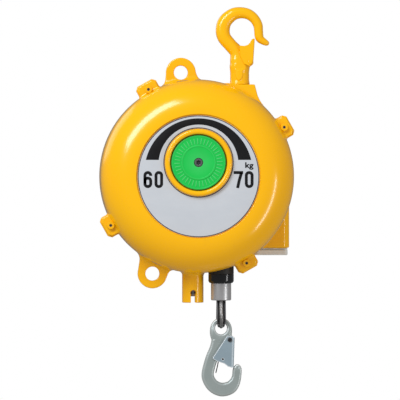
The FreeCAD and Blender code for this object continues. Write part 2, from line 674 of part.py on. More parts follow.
def rear_housing_bores():
    """Every hole of the rear housing."""
    bush_r = WORM_JOURNAL_R + WORM_BUSH_T + SLIP_FIT
    tools = [
        rod_y(SHAFT_THREAD_R + SLIP_FIT, REAR_INSIDE_Y - SHAFT_BOSS_IN, BOSS_FACE_Y),
        rod_z(NECK_R + SLIP_FIT, BLOCK_SEAT_Z, BLOCK_TOP_Z, HOOK_X, ROPE_Y),
        rod_z(HOOK_WASHER_R + 2.0, BLOCK_FOOT_Z - BLOCK_H, BLOCK_SEAT_Z, HOOK_X, ROPE_Y),
        rod_z(WORM_BORE_R, WORM_BUSH_LOW_Z + WORM_BUSH_L, WORM_BUSH_TOP_Z, WORM_X, WORM_Y),
        rod_z(bush_r, BOX_FLOOR_Z, WORM_BUSH_TOP_Z + WORM_BUSH_L, WORM_X, WORM_Y),
        rod_z(GUIDE_R + SLIP_FIT, GUIDE_LOW_Z, GUIDE_TOP_Z + 6.0, ROPE_X, ROPE_Y),
        rod_z(GUIDE_FLANGE_R + SLIP_FIT, GUIDE_LOW_Z - 3.0, GUIDE_LOW_Z + GUIDE_FLANGE_T,
              ROPE_X, ROPE_Y),
        rod_y(LUG_HOLE_R, LUG_Y - LUG_T / 2.0, LUG_Y + LUG_T / 2.0, TOP_LUG_X, TOP_LUG_Z),
        rod_y(LUG_HOLE_R, LUG_Y - LUG_T / 2.0, LUG_Y + LUG_T / 2.0, LOW_LUG_X, LOW_LUG_Z),
        rod_z(LOCK_BORE_R, LOCK_TUBE_LOW_Z, LOCK_SEAT_Z - LOCK_ROOF_T, LOCK_X, LOCK_Y),
        rod_z(LOCK_PIN_R + RUN_FIT, LOCK_SEAT_Z - LOCK_ROOF_T, LOCK_SEAT_Z, LOCK_X, LOCK_Y),
        block(LOCK_X - LOCK_SLOT_W / 2.0, LOCK_X + LOCK_SLOT_W / 2.0,
              LOCK_Y - LOCK_TUBE_R, LOCK_Y + LOCK_TUBE_R, LOCK_TUBE_LOW_Z, LOCK_CROSS_Z),
        rod_y(LOCK_WINDOW_R, LOCK_Y - LOCK_TUBE_R, LOCK_Y + LOCK_TUBE_R, LOCK_X, LOCK_CROSS_Z),
    ]
    for degrees, x, z in ear_places():
        ear_face_y = PARTING_Y + EAR_REAR_T
        tools.append(rod_y(EAR_BOLT_D / 2.0 + SLIP_FIT, PARTING_Y, ear_face_y, x, z))
        tools.append(rod_y(EAR_SPOT_R, ear_face_y, ear_face_y + 2.0 * EAR_NUT_H, x, z))
    return tools


# ---- what is fastened to the housings ----------------------------------------------------------
def ear_bolts():
    bolts = []
    head_y = PARTING_Y - EAR_FRONT_T - SEAT_GAP
    tail_y = PARTING_Y + EAR_REAR_T + SEAT_GAP + EAR_NUT_H + 1.0
    for degrees, x, z in ear_places():
        head = rod_y(EAR_HEAD_D / 2.0, head_y - EAR_HEAD_H, head_y, x, z)
        head = head.fuse(rod_y(EAR_BOLT_D / 2.0, head_y, tail_y, x, z)).removeSplitter()
        bolts.append(head.cut(hexagon(EAR_SOCKET_AF, head_y - EAR_HEAD_H, EAR_SOCKET_DEPTH,
                                      x, z, Y_DIR)))
    return Part.makeCompound(bolts)


def ear_nuts():
    nuts = []
    y_low = PARTING_Y + EAR_REAR_T + SEAT_GAP
    for degrees, x, z in ear_places():
        nut = hexagon(EAR_NUT_AF, y_low, EAR_NUT_H, x, z, Y_DIR)
        nuts.append(nut.cut(rod_y(EAR_BOLT_D / 2.0 + RUN_FIT, y_low, y_low + EAR_NUT_H, x, z)))
    return Part.makeCompound(nuts)


def name_plate():
    disc = rod_y(PLATE_R, PLATE_FRONT_Y, PLATE_FRONT_Y + PLATE_T, 0.0, -BODY_DROP)
    return disc.cut(rod_y(PLATE_BORE_R, PLATE_FRONT_Y, PLATE_FRONT_Y + PLATE_T))


def hub_cap():
    """Snap-in cap: ringed face, skirt and a sleeve for its screw."""
    face_y = LIP_Y + CAP_FACE_DROP
    foot_y = WEB_FRONT_Y - SEAT_GAP
    ring_r = CAP_R - CAP_RIM_W
    sleeve_r = CAP_HOLE_R + CAP_SLEEVE_T
    return turned(chain([
        (CAP_HOLE_R, face_y),
        (ring_r - 1.0, face_y),
        (ring_r, face_y + CAP_DISH),
        (CAP_R - 1.2, face_y + CAP_DISH),
        (CAP_R, face_y + CAP_DISH + 1.2),
        (CAP_R, foot_y),
        (CAP_R - CAP_SKIRT_T, foot_y),
        (CAP_R - CAP_SKIRT_T, face_y + CAP_DISH + CAP_FACE_T),
        (sleeve_r, face_y + CAP_DISH + CAP_FACE_T),
        (sleeve_r, CAP_SCREW_SEAT_Y),
        (CAP_SCREW_D / 2.0 + SLIP_FIT, CAP_SCREW_SEAT_Y),
        (CAP_SCREW_D / 2.0 + SLIP_FIT, CAP_SCREW_SEAT_Y - 2.0),
        (CAP_HOLE_R, CAP_SCREW_SEAT_Y - 2.0),
    ]))




def cap_screw():
    head_y = CAP_SCREW_SEAT_Y - 2.0 - SEAT_GAP
    head = rod_y(CAP_SCREW_HEAD_R, head_y - CAP_SCREW_HEAD_H, head_y)
    head = head.cut(hexagon(CAP_SCREW_AF, head_y - CAP_SCREW_HEAD_H, 2.5, 0.0, 0.0, Y_DIR))
    return head.fuse(rod_y(CAP_SCREW_D / 2.0, head_y, head_y + CAP_SCREW_L)).removeSplitter()


def main_shaft():
    """Fixed shaft: front collar, round seat for the bearings, threaded rear end."""
    seat_end = REAR_INSIDE_Y - SHAFT_BOSS_IN - SEAT_GAP
    tail_y = BOSS_FACE_Y + SHAFT_WASHER_T + SHAFT_NUT_H + 3.0
    shaft = joined([
        rod_y(SHAFT_COLLAR_R, SHAFT_FRONT_Y, SHAFT_FRONT_Y + SHAFT_COLLAR_T),
        rod_y(SHAFT_R, SHAFT_FRONT_Y, seat_end),
        rod_y(SHAFT_THREAD_R, seat_end, tail_y),
    ])
    hole_end = SHAFT_FRONT_Y + CAP_SCREW_L + 2.0
    return shaft.cut(rod_y(CAP_SCREW_D / 2.0 + RUN_FIT, SHAFT_FRONT_Y, hole_end))


def shaft_washer():
    y_low = BOSS_FACE_Y + SEAT_GAP
    return tube_y(SHAFT_WASHER_R, SHAFT_THREAD_R + SLIP_FIT, y_low, y_low + SHAFT_WASHER_T)


def shaft_nut():
    y_low = BOSS_FACE_Y + 2.0 * SEAT_GAP + SHAFT_WASHER_T
    nut = hexagon(SHAFT_NUT_AF, y_low, SHAFT_NUT_H, 0.0, 0.0, Y_DIR)
    return nut.cut(rod_y(SHAFT_THREAD_R + RUN_FIT, y_low, y_low + SHAFT_NUT_H))


# ---- drum, arbor and their bearings ----------------------------------------------------------------
def turn_places():
    """Radius and place of each wound turn, from the smallest to the largest."""
    places = []
    for number in range(TURN_COUNT):
        places.append((ROPE_X + TURN_RISE * number, ROPE_Y - TURN_PITCH * number))
    return places




def drum():
    """Stepped cone: one round-bottomed groove for each turn, rim and notched lock plate."""
    points = [(BEARING_SEAT_R, DRUM_REAR_Y), (LOCK_PLATE_R, DRUM_REAR_Y), (LOCK_PLATE_R, LOCK_PLATE_Y)]
    points += [(DRUM_HUB_R, LOCK_PLATE_Y), (DRUM_HUB_R, DRUM_LIP_Y + DRUM_LIP_T)]
    points += [(DRUM_LIP_R, DRUM_LIP_Y + DRUM_LIP_T), (DRUM_LIP_R, DRUM_LIP_Y)]
    for radius, y in turn_places():
        points += [(radius, y + GROOVE_R), (radius - GROOVE_R, y, "bend"), (radius, y - GROOVE_R)]
    points += [(DRUM_RIM_R, DRUM_FRONT_Y + DRUM_RIM_T), (DRUM_RIM_R, DRUM_FRONT_Y)]
    slope = TURN_RISE / TURN_PITCH
    pocket_r = LAST_TURN_R - GROOVE_R - DRUM_WALL
    pocket_depth = (pocket_r - DRUM_HUB_R - DRUM_WALL) / slope
    points += [(pocket_r, DRUM_FRONT_Y), (DRUM_HUB_R + DRUM_WALL, DRUM_FRONT_Y + pocket_depth)]
    points += [(DRUM_HUB_R, DRUM_FRONT_Y + pocket_depth), (DRUM_HUB_R, DRUM_FRONT_Y)]
    points += [(BEARING_SEAT_R, DRUM_FRONT_Y)]
    solid = turned(chain(points))
    notch_r = LOCK_PIN_R + NOTCH_PLAY
    for number in range(NOTCH_COUNT):
        degrees = 360.0 / NOTCH_COUNT * number
        notch = block(LOCK_X - notch_r, LOCK_X + notch_r, LOCK_PLATE_Y, DRUM_REAR_Y,
                      -LOCK_PLATE_R - NOTCH_DEPTH, -LOCK_PLATE_R + NOTCH_DEPTH)
        notch.rotate(V(0, 0, 0), Y_DIR, degrees)
        solid = solid.cut(notch)
    for x, z in arbor_screw_places():
        solid = solid.cut(rod_y(ARBOR_SCREW_D / 2.0 + RUN_FIT, LOCK_PLATE_Y - 0.5, DRUM_REAR_Y, x, z))
    return solid


def arbor_screw_places():
    return [on_circle(ARBOR_SCREW_CIRCLE_R, 90.0 + 360.0 / ARBOR_SCREW_COUNT * number)
            for number in range(ARBOR_SCREW_COUNT)]


def wound_rope():
    """Turns that lie on the drum; the last one is open where the rope leaves it."""
    rings = []
    for number, (radius, y) in enumerate(turn_places()):
        sweep = 360.0 - ROPE_GAP_DEG if number == 0 else 360.0
        section = Part.Face(Part.Wire(Part.Circle(V(radius, y, 0), Z_DIR, ROPE_D / 2.0).toShape()))
        rings.append(section.revolve(V(0, 0, 0), -Y_DIR, sweep))
    return Part.makeCompound(rings)




def spring_arbor():
    """Sleeve that the main spring grips, screwed to the drum's rear face."""
    solid = turned(chain([
        (SHAFT_R + 1.0, ARBOR_Y),
        (ARBOR_FLANGE_R, ARBOR_Y),
        (ARBOR_FLANGE_R, ARBOR_Y + ARBOR_FLANGE_T),
        (ARBOR_R, ARBOR_Y + ARBOR_FLANGE_T),
        (ARBOR_R, ARBOR_REAR_Y),
        (BEARING_SEAT_R, ARBOR_REAR_Y),
        (BEARING_SEAT_R, REAR_BEARING_Y - SEAT_GAP),
        (SHAFT_R + 1.0, REAR_BEARING_Y - SEAT_GAP),
    ]))
    for x, z in arbor_screw_places():
        hole = ARBOR_SCREW_D / 2.0 + SLIP_FIT
        solid = solid.cut(rod_y(hole, ARBOR_Y, ARBOR_Y + ARBOR_FLANGE_T, x, z))
        sink_y = ARBOR_Y + ARBOR_FLANGE_T - 2.0
        solid = solid.cut(rod_y(ARBOR_SCREW_HEAD_D / 2.0 + SLIP_FIT, sink_y,
                                ARBOR_Y + ARBOR_FLANGE_T, x, z))
    return solid


def arbor_screws():
    screws = []
    head_y = ARBOR_Y + ARBOR_FLANGE_T - 2.0 + SEAT_GAP
    for x, z in arbor_screw_places():
        shank = rod_y(ARBOR_SCREW_D / 2.0, LOCK_PLATE_Y, head_y, x, z)
        screws.append(shank.fuse(rod_y(ARBOR_SCREW_HEAD_D / 2.0, head_y, head_y + 1.8, x, z)))
    return Part.makeCompound([screw.removeSplitter() for screw in screws])




def bearing_inner_rings():
    return Part.makeCompound([tube_y(BEARING_RACE_R, SHAFT_R + RUN_FIT, y, y + BEARING_W)
                              for y in (FRONT_BEARING_Y, REAR_BEARING_Y)])


def bearing_outer_rings():
    return Part.makeCompound([tube_y(OUTER_RACE_R + BEARING_OUTER_T, OUTER_RACE_R, y, y + BEARING_W)
                              for y in (FRONT_BEARING_Y, REAR_BEARING_Y)])


def bearing_rollers():
    rollers = []
    inset = (BEARING_W - ROLLER_L) / 2.0
    for y in (FRONT_BEARING_Y, REAR_BEARING_Y):
        for number in range(ROLLER_COUNT):
            x, z = on_circle(ROLLER_CIRCLE_R, 360.0 / ROLLER_COUNT * number)
            rollers.append(rod_y(ROLLER_R, y + inset, y + inset + ROLLER_L, x, z))
    return Part.makeCompound(rollers)


# ---- spring case ----------------------------------------------------------------------------------------


def spring_case():
    inner_r = CASE_R - CASE_WALL
    return turned(chain([
        (ARBOR_R + CASE_BORE_PLAY, CASE_Y),
        (CASE_R, CASE_Y),
        (CASE_R, CASE_REAR_Y),
        (inner_r, CASE_REAR_Y),
        (inner_r, CASE_Y + CASE_FLOOR_T),
        (ARBOR_R + CASE_BORE_PLAY, CASE_Y + CASE_FLOOR_T),
    ]))


def case_screw_places():
    return [on_circle(CASE_SCREW_CIRCLE_R, 360.0 / CASE_SCREW_COUNT * number)
            for number in range(CASE_SCREW_COUNT)]


def spring_case_lid():
    lid = tube_y(CASE_R, ARBOR_R + CASE_BORE_PLAY, LID_Y, LID_Y + LID_T)
    for x, z in case_screw_places():
        lid = lid.cut(rod_y(CASE_SCREW_D / 2.0 + RUN_FIT, LID_Y, LID_Y + LID_T, x, z))
    return lid


def main_spring():
    """Flat spiral: turns packed against the case, then open turns in to the arbor."""
    outer_r = CASE_R - CASE_WALL - FREE_GAP
    inner_r = ARBOR_R + FREE_GAP + SPRING_T
    packed_steps = 2 * SPRING_PACKED_TURNS
    open_steps = 2 * (SPRING_TURNS - SPRING_PACKED_TURNS)
    open_pitch = (outer_r - inner_r - packed_steps * SPRING_PACKED_PITCH / 2.0) / open_steps
    radii = [outer_r]
    for step in range(packed_steps):
        radii.append(radii[-1] - SPRING_PACKED_PITCH / 2.0)
    for step in range(open_steps):
        radii.append(radii[-1] - open_pitch)

    def side(inset):
        """Half-circle arcs, each centred so that it meets the next one smoothly."""
        arcs = []
        sign = 1.0
        for wide, narrow in zip(radii[:-1], radii[1:]):
            radius = (wide + narrow) / 2.0 - inset
            centre = sign * (wide - narrow) / 2.0
            start = V(centre + sign * radius, 0, 0)
            middle = V(centre, 0, sign * radius)
            end = V(centre - sign * radius, 0, 0)
            arcs.append(Part.Arc(start, middle, end).toShape())
            sign = -sign
        return arcs

    outer = side(0.0)
    inner = side(SPRING_T)
    cap_out = Part.LineSegment(outer[0].Vertexes[0].Point, inner[0].Vertexes[0].Point).toShape()
    cap_in = Part.LineSegment(outer[-1].Vertexes[-1].Point, inner[-1].Vertexes[-1].Point).toShape()
    wire = Part.Wire(Part.__sortEdges__(outer + [cap_in] + inner + [cap_out]))
    y_low = CASE_Y + CASE_FLOOR_T + (CASE_DEPTH - CASE_FLOOR_T - SPRING_W) / 2.0
    strip = Part.Face(wire).extrude(V(0, SPRING_W, 0))
    strip.translate(V(0, y_low, 0))
    return strip


def worm_wheel():
    """Toothed ring on a web, its hub turning on the main shaft."""
    tooth_low_y = WORM_Y - WHEEL_W / 2.0
    tooth_high_y = WORM_Y + WHEEL_W / 2.0
    root_r = WHEEL_PITCH_R - WHEEL_ROOT_H
    web_y = WHEEL_FACE_Y + WHEEL_WEB_T
    solid = turned(chain([
        (SHAFT_R + CASE_BUSH_T + SLIP_FIT, WHEEL_FACE_Y),
        (WHEEL_BOLT_FLANGE_R, WHEEL_FACE_Y),
        (root_r - 6.0, tooth_low_y),
        (root_r, tooth_low_y),
        (root_r, tooth_high_y),
        (root_r - 5.0, tooth_high_y),
        (WHEEL_BOLT_FLANGE_R, web_y),
        (WHEEL_HUB_R, web_y),
        (WHEEL_HUB_R, tooth_high_y),
        (SHAFT_R + CASE_BUSH_T + SLIP_FIT, tooth_high_y),
    ]))
    tip_r = WHEEL_PITCH_R + WHEEL_TIP_H
    teeth = []
    outline = [(root_r - 0.5, -WHEEL_ROOT_T / 2.0), (tip_r, -WHEEL_TIP_T / 2.0),
               (tip_r, WHEEL_TIP_T / 2.0), (root_r - 0.5, WHEEL_ROOT_T / 2.0)]
    tooth = plate_xz(outline, tooth_low_y, tooth_high_y)
    for number in range(WHEEL_TEETH):
        one = tooth.copy()
        one.rotate(V(0, 0, 0), Y_DIR, 360.0 / WHEEL_TEETH * (number + 0.5))
        teeth.append(one)
    solid = solid.multiFuse(teeth).removeSplitter()
    for x, z in case_screw_places():
        solid = solid.cut(rod_y(CASE_SCREW_D / 2.0 + SLIP_FIT, WHEEL_FACE_Y, web_y + 5.0, x, z))
    return solid


def case_screws():
    screws = []
    head_y = WHEEL_FACE_Y + WHEEL_WEB_T + SEAT_GAP
    for x, z in case_screw_places():
        shank = rod_y(CASE_SCREW_D / 2.0, head_y - CASE_SCREW_L, head_y, x, z)
        head = rod_y(CASE_SCREW_HEAD_D / 2.0, head_y, head_y + CASE_SCREW_HEAD_H, x, z)
        screws.append(shank.fuse(head).removeSplitter())
    return Part.makeCompound(screws)


def case_bush():
    y_high = WORM_Y + WHEEL_W / 2.0
    return tube_y(SHAFT_R + CASE_BUSH_T, SHAFT_R + RUN_FIT, WHEEL_FACE_Y, y_high)


# ---- worm ---------------------------------------------------------------------------------------------------
def worm():
    """Right-hand thread on a long spindle, with a socket for the setting key below."""
    length = WORM_TURNS * TOOTH_PITCH
    start_z = -length / 2.0
    root_r = WORM_PITCH_R - WORM_THREAD_H
    tip_r = WORM_PITCH_R + WORM_THREAD_H
    buried_r = WORM_CORE_R - 0.4
    profile = Part.makePolygon([
        V(buried_r, 0, -WORM_THREAD_ROOT_T / 2.0), V(root_r, 0, -WORM_THREAD_ROOT_T / 2.0),
        V(tip_r, 0, -WORM_THREAD_TIP_T / 2.0), V(tip_r, 0, WORM_THREAD_TIP_T / 2.0),
        V(root_r, 0, WORM_THREAD_ROOT_T / 2.0), V(buried_r, 0, WORM_THREAD_ROOT_T / 2.0),
        V(buried_r, 0, -WORM_THREAD_ROOT_T / 2.0)])
    helix = Part.makeHelix(TOOTH_PITCH, length, WORM_PITCH_R)
    thread = Part.Wire(helix).makePipeShell([profile], True, True)
    thread.rotate(V(0, 0, 0), Z_DIR, 180.0 - 360.0 * (WORM_TURNS / 2.0))
    thread.translate(V(WORM_X, WORM_Y, start_z))
    top_z = WORM_BUSH_TOP_Z + WORM_BUSH_L
    low_z = WORM_BUSH_LOW_Z
    solid = joined([
        rod_z(WORM_CORE_R, WORM_BUSH_LOW_Z + WORM_BUSH_L + SEAT_GAP, WORM_BUSH_TOP_Z - SEAT_GAP,
              WORM_X, WORM_Y),
        thread,
        rod_z(WORM_JOURNAL_R, low_z, top_z, WORM_X, WORM_Y),
    ])
    return solid.cut(hexagon(WORM_SOCKET_AF, low_z, WORM_SOCKET_DEPTH, WORM_X, WORM_Y))


def worm_bushes():
    bushes = []
    for z in (WORM_BUSH_LOW_Z, WORM_BUSH_TOP_Z):
        bushes.append(tube_z(WORM_JOURNAL_R + WORM_BUSH_T, WORM_JOURNAL_R + RUN_FIT,
                             z, z + WORM_BUSH_L, WORM_X, WORM_Y))
    return Part.makeCompound(bushes)


def worm_cap():
    """Moulded cover under the worm box, open for the setting key."""
    z_high = BOX_FLOOR_Z - SEAT_GAP
    solid = block(BOX_LEFT_X + CAP_INSET_X, BOX_RIGHT_X - CAP_INSET_X, BOX_FRONT_Y + CAP_INSET_Y,
                  BOX_REAR_Y - CAP_INSET_Y, z_high - CAP_H, z_high)
    upright = [edge for edge in solid.Edges if abs(edge.tangentAt(0).z) > 0.9]
    solid = solid.makeFillet(2.0 * CAP_EDGE, upright)
    lower = [edge for edge in solid.Edges if edge.BoundBox.ZMax < z_high - CAP_H + 0.01]
    solid = solid.makeChamfer(CAP_EDGE, lower)
    solid = solid.cut(rod_y(BODY_R + FREE_GAP, BOX_FRONT_Y, BOX_REAR_Y, 0.0, -BODY_DROP))
    return solid.cut(rod_z(KEY_HOLE_R, z_high - CAP_H, z_high, WORM_X, WORM_Y))


# ---- upper hook -----------------------------------------------------------------------------------------------
def bowl_station(angle, centre_x, centre_z, inner_r, width, thickness, travel):
    """Station of a hook's bend; travel is -1 when the bar runs clockwise and 1 if not."""
    x, z = on_circle(inner_r + width / 2.0, angle, centre_x, centre_z)
    return (x, z, angle + 90.0 * travel, width, thickness)


def upper_hook():
    """Forged shank hook: swelling shank, round bowl and a tip that flares outwards."""
    stations = [
        (HOOK_X, SHANK_TOP_Z - 8.0, 90.0, 2.0 * SHANK_R, 2.0 * SHANK_R),
        (HOOK_X - 1.5, SHANK_TOP_Z, 100.0, 24.0, 21.0),
        (HOOK_X - 8.5, SHANK_TOP_Z + 11.5, 126.0, 23.0, 18.0),
    ]
    mean_w = (BOWL_BACK_W + BOWL_NOSE_W) / 2.0
    swing_w = (BOWL_BACK_W - BOWL_NOSE_W) / 2.0
    for angle in (200.0, 170.0, 140.0, 110.0, 80.0, 50.0, 20.0, 0.0):
        width = mean_w - swing_w * math.cos(math.radians(angle))
        thick = UPPER_BAR_T - (180.0 - min(angle, 180.0)) / 180.0 * (UPPER_BAR_T - 11.5)
        stations.append(bowl_station(angle, BOWL_X, BOWL_Z, BOWL_R, width, thick, -1))
    arm_x = BOWL_X + BOWL_R + BOWL_NOSE_W / 2.0
    stations += [
        (arm_x + 0.5, BOWL_Z - 7.0, -84.0, 10.2, 11.0),
        (arm_x + 2.8, BOWL_Z - 12.5, -56.0, 9.6, UPPER_TIP_T),
        (arm_x + 7.6, BOWL_Z - 16.2, -36.0, 8.0, 8.6),
        (arm_x + 10.6, BOWL_Z - 18.2, -34.0, 4.6, 5.4),
    ]
    bar = forged_bar(stations, ROPE_Y, 0.92)
    foot_z = BLOCK_TOP_Z + SEAT_GAP
    shank = Part.makeCone(SHANK_R + 0.8, SHANK_R, 5.0, V(HOOK_X, ROPE_Y, foot_z), Z_DIR)
    shank = shank.fuse(rod_z(SHANK_R, foot_z + 5.0, SHANK_TOP_Z - 8.0, HOOK_X, ROPE_Y))
    neck_low = BLOCK_SEAT_Z - HOOK_WASHER_T - HOOK_NUT_H - NECK_TAIL - 2.0 * SEAT_GAP
    neck = rod_z(NECK_R, BLOCK_SEAT_Z - HOOK_WASHER_T, foot_z, HOOK_X, ROPE_Y)
    tail = rod_z(NECK_THREAD_R, neck_low, BLOCK_SEAT_Z - HOOK_WASHER_T, HOOK_X, ROPE_Y)
    cheek = Part.makeCylinder(LATCH_EYE_R, CHEEK_T, V(LATCH_PIN_X, ROPE_Y - CHEEK_T / 2.0, LATCH_PIN_Z),
                              Y_DIR)
    root = block(HOOK_X, LATCH_PIN_X, ROPE_Y - CHEEK_T / 2.0, ROPE_Y + CHEEK_T / 2.0,
                 LATCH_PIN_Z - LATCH_EYE_R, LATCH_PIN_Z + LATCH_EYE_R)
    solid = joined([bar, shank, neck, tail, cheek, root])
    solid = solid.cut(rod_y(LATCH_PIN_R + SLIP_FIT, ROPE_Y - CHEEK_T, ROPE_Y + CHEEK_T,
                            LATCH_PIN_X, LATCH_PIN_Z))
    pin_hole = Part.makeCylinder(SPLIT_PIN_D / 2.0 + SLIP_FIT, 4.0 * NECK_R,
                                 V(HOOK_X - 2.0 * NECK_R, ROPE_Y, SPLIT_PIN_Z), X_DIR)
    return solid.cut(pin_hole)




def hook_washer():
    z_high = BLOCK_SEAT_Z - SEAT_GAP
    return tube_z(HOOK_WASHER_R, NECK_R + SLIP_FIT, z_high - HOOK_WASHER_T, z_high, HOOK_X, ROPE_Y)


def hook_nut():
    z_low = SPLIT_PIN_Z + NECK_TAIL / 2.0
    nut = hexagon(HOOK_NUT_AF, z_low, HOOK_NUT_H - SEAT_GAP, HOOK_X, ROPE_Y)
    return nut.cut(rod_z(NECK_THREAD_R + RUN_FIT, z_low, z_low + HOOK_NUT_H, HOOK_X, ROPE_Y))


def hook_split_pin():
    length = 2.0 * (NECK_THREAD_R + SPLIT_PIN_OVERHANG)
    start = V(HOOK_X - length / 2.0, ROPE_Y, SPLIT_PIN_Z)
    pin = Part.makeCylinder(SPLIT_PIN_D / 2.0, length, start, X_DIR)
    head = Part.makeSphere(SPLIT_PIN_D * 0.75, start)
    return pin.fuse(head)


def latch_channel(outline, bend, pin_x, pin_z, pin_r, half_gap, thickness):
    """Sheet latch: two cheeks of one outline and the strip that joins them at one side."""
    cheeks = []
    for sign in (-1.0, 1.0):
        inner = sign * half_gap
        outer = sign * (half_gap + thickness)
        low = min(inner, outer)
        cheeks.append(plate_xz(outline, ROPE_Y + low, ROPE_Y + low + thickness))
    (x0, z0), (x1, z1) = bend
    run = math.hypot(x1 - x0, z1 - z0)
    side_x = -(z1 - z0) / run * thickness
    side_z = (x1 - x0) / run * thickness
    strip = [(x0, z0), (x1, z1), (x1 + side_x, z1 + side_z), (x0 + side_x, z0 + side_z)]
    cheeks.append(plate_xz(strip, ROPE_Y - half_gap - thickness, ROPE_Y + half_gap + thickness))
    solid = joined(cheeks)
    reach = half_gap + 2.0 * thickness
    return solid.cut(rod_y(pin_r, ROPE_Y - reach, ROPE_Y + reach, pin_x, pin_z))




def upper_latch():
    """Safety latch that closes the upper hook's mouth from inside."""
    outline = [
        (LATCH_PIN_X - 3.6, LATCH_PIN_Z - 3.4),
        (LATCH_PIN_X + 3.6, LATCH_PIN_Z - 3.4),
        (LATCH_PIN_X + 4.6, LATCH_PIN_Z + 4.0),
        (LATCH_TIP_X + 1.6, LATCH_TIP_Z - 2.0),
        (LATCH_TIP_X, LATCH_TIP_Z),
        (LATCH_TIP_X - 3.0, LATCH_TIP_Z - 5.0),
        (LATCH_TIP_X - 7.5, LATCH_TIP_Z - 8.6),
        (LATCH_HEEL_X, LATCH_HEEL_Z),
    ]
    bend = ((LATCH_TIP_X + 1.6, LATCH_TIP_Z - 2.0), (LATCH_PIN_X + 4.6, LATCH_PIN_Z + 8.0))
    return latch_channel(outline, bend, LATCH_PIN_X, LATCH_PIN_Z, LATCH_PIN_R + SLIP_FIT,
                         UPPER_LATCH_HALF, LATCH_T)


def cross_rivet(x, z, radius, half_length, head_r, head_t):
    """Rivet along Y with a low head at both ends."""
    shank = rod_y(radius, ROPE_Y - half_length, ROPE_Y + half_length, x, z)
    heads = [rod_y(head_r, ROPE_Y + half_length, ROPE_Y + half_length + head_t, x, z),
             rod_y(head_r, ROPE_Y - half_length - head_t, ROPE_Y - half_length, x, z)]
    return joined([shank] + heads)


def upper_latch_rivet():
    return cross_rivet(LATCH_PIN_X, LATCH_PIN_Z, LATCH_PIN_R, UPPER_LATCH_HALF + LATCH_T + SEAT_GAP,
                       LATCH_HEAD_R, LATCH_HEAD_T)


# ---- drum lock -------------------------------------------------------------------------------------------------------


def lock_pin():
    head = rod_z(LOCK_HEAD_R, LOCK_HEAD_Z - LOCK_HEAD_H, LOCK_HEAD_Z, LOCK_X, LOCK_Y)
    stem = rod_z(LOCK_PIN_R, LOCK_HEAD_Z, LOCK_TIP_Z, LOCK_X, LOCK_Y)
    solid = head.fuse(stem).removeSplitter()
    cross = rod_y(LOCK_CROSS_R + SLIP_FIT, LOCK_Y - 2.0 * LOCK_HEAD_R, LOCK_Y + 2.0 * LOCK_HEAD_R,
                  LOCK_X, LOCK_CROSS_Z)
    return solid.cut(cross)


def lock_cross_pin():
    reach = math.sqrt((LOCK_BORE_R - FREE_GAP) ** 2 - LOCK_CROSS_R ** 2)
    return rod_y(LOCK_CROSS_R, LOCK_Y - reach, LOCK_Y + reach, LOCK_X, LOCK_CROSS_Z)


def lock_spring():
    """Coil between the pin's head and the seat in the tube, drawn as stacked rings."""
    z_low = LOCK_HEAD_Z + LOCK_SPRING_WIRE_R + SEAT_GAP
    z_high = LOCK_SEAT_Z - LOCK_ROOF_T - LOCK_SPRING_WIRE_R - SEAT_GAP
    coil_r = LOCK_PIN_R + 1.0 + LOCK_SPRING_WIRE_R
    height = z_high - z_low
    helix = Part.makeHelix(height / LOCK_SPRING_TURNS, height, coil_r)
    section = Part.Wire(Part.Circle(V(coil_r, 0, 0), Y_DIR, LOCK_SPRING_WIRE_R).toShape())
    coil = Part.Wire(helix).makePipeShell([section], True, True)
    coil.translate(V(LOCK_X, LOCK_Y, z_low))
    return coil


# ---- rope end -------------------------------------------------------------------------------------------------------------


def rope_guide():
    """Flanged bush with a bell mouth above and below."""
    mouth = GUIDE_BORE_R + GUIDE_FLARE
    edges = []
    outline = [
        (GUIDE_R, GUIDE_TOP_Z), (GUIDE_R, GUIDE_LOW_Z + GUIDE_FLANGE_T),
        (GUIDE_FLANGE_R, GUIDE_LOW_Z + GUIDE_FLANGE_T), (GUIDE_FLANGE_R, GUIDE_LOW_Z),
        (mouth, GUIDE_LOW_Z), (GUIDE_BORE_R, GUIDE_LOW_Z + GUIDE_FLARE),
        (GUIDE_BORE_R, GUIDE_TOP_Z - GUIDE_FLARE), (mouth, GUIDE_TOP_Z),
    ]
    corners = [V(ROPE_X + radius, ROPE_Y, z) for radius, z in outline]
    for start, end in zip(corners, corners[1:] + corners[:1]):
        edges.append(Part.LineSegment(start, end).toShape())
    return Part.Face(Part.Wire(edges)).revolve(V(ROPE_X, ROPE_Y, 0), Z_DIR, 360)


def rope_run():
    """Rope from the drum down through the guide and the bumper to the ferrule."""
    return rod_z(ROPE_D / 2.0, FERRULE_TOP_Z, 0.0, ROPE_X, ROPE_Y)


def bumper():
    low = FERRULE_TOP_Z + SEAT_GAP
    solid = rod_z(BUMPER_R, low, BUMPER_TOP_Z, ROPE_X, ROPE_Y)
    lower = [edge for edge in solid.Edges if edge.BoundBox.ZMax < low + 0.01]
    solid = solid.makeChamfer(BUMPER_CHAMFER, lower)
    return solid.cut(rod_z(ROPE_D / 2.0 + SLIP_FIT, low, BUMPER_TOP_Z, ROPE_X, ROPE_Y))


def ferrule():
    solid = rod_z(FERRULE_R, FERRULE_LOW_Z, FERRULE_TOP_Z, ROPE_X, ROPE_Y)
    lower = [edge for edge in solid.Edges if edge.BoundBox.ZMax < FERRULE_LOW_Z + 0.01]
    return solid.makeFillet(FERRULE_ROUND, lower)


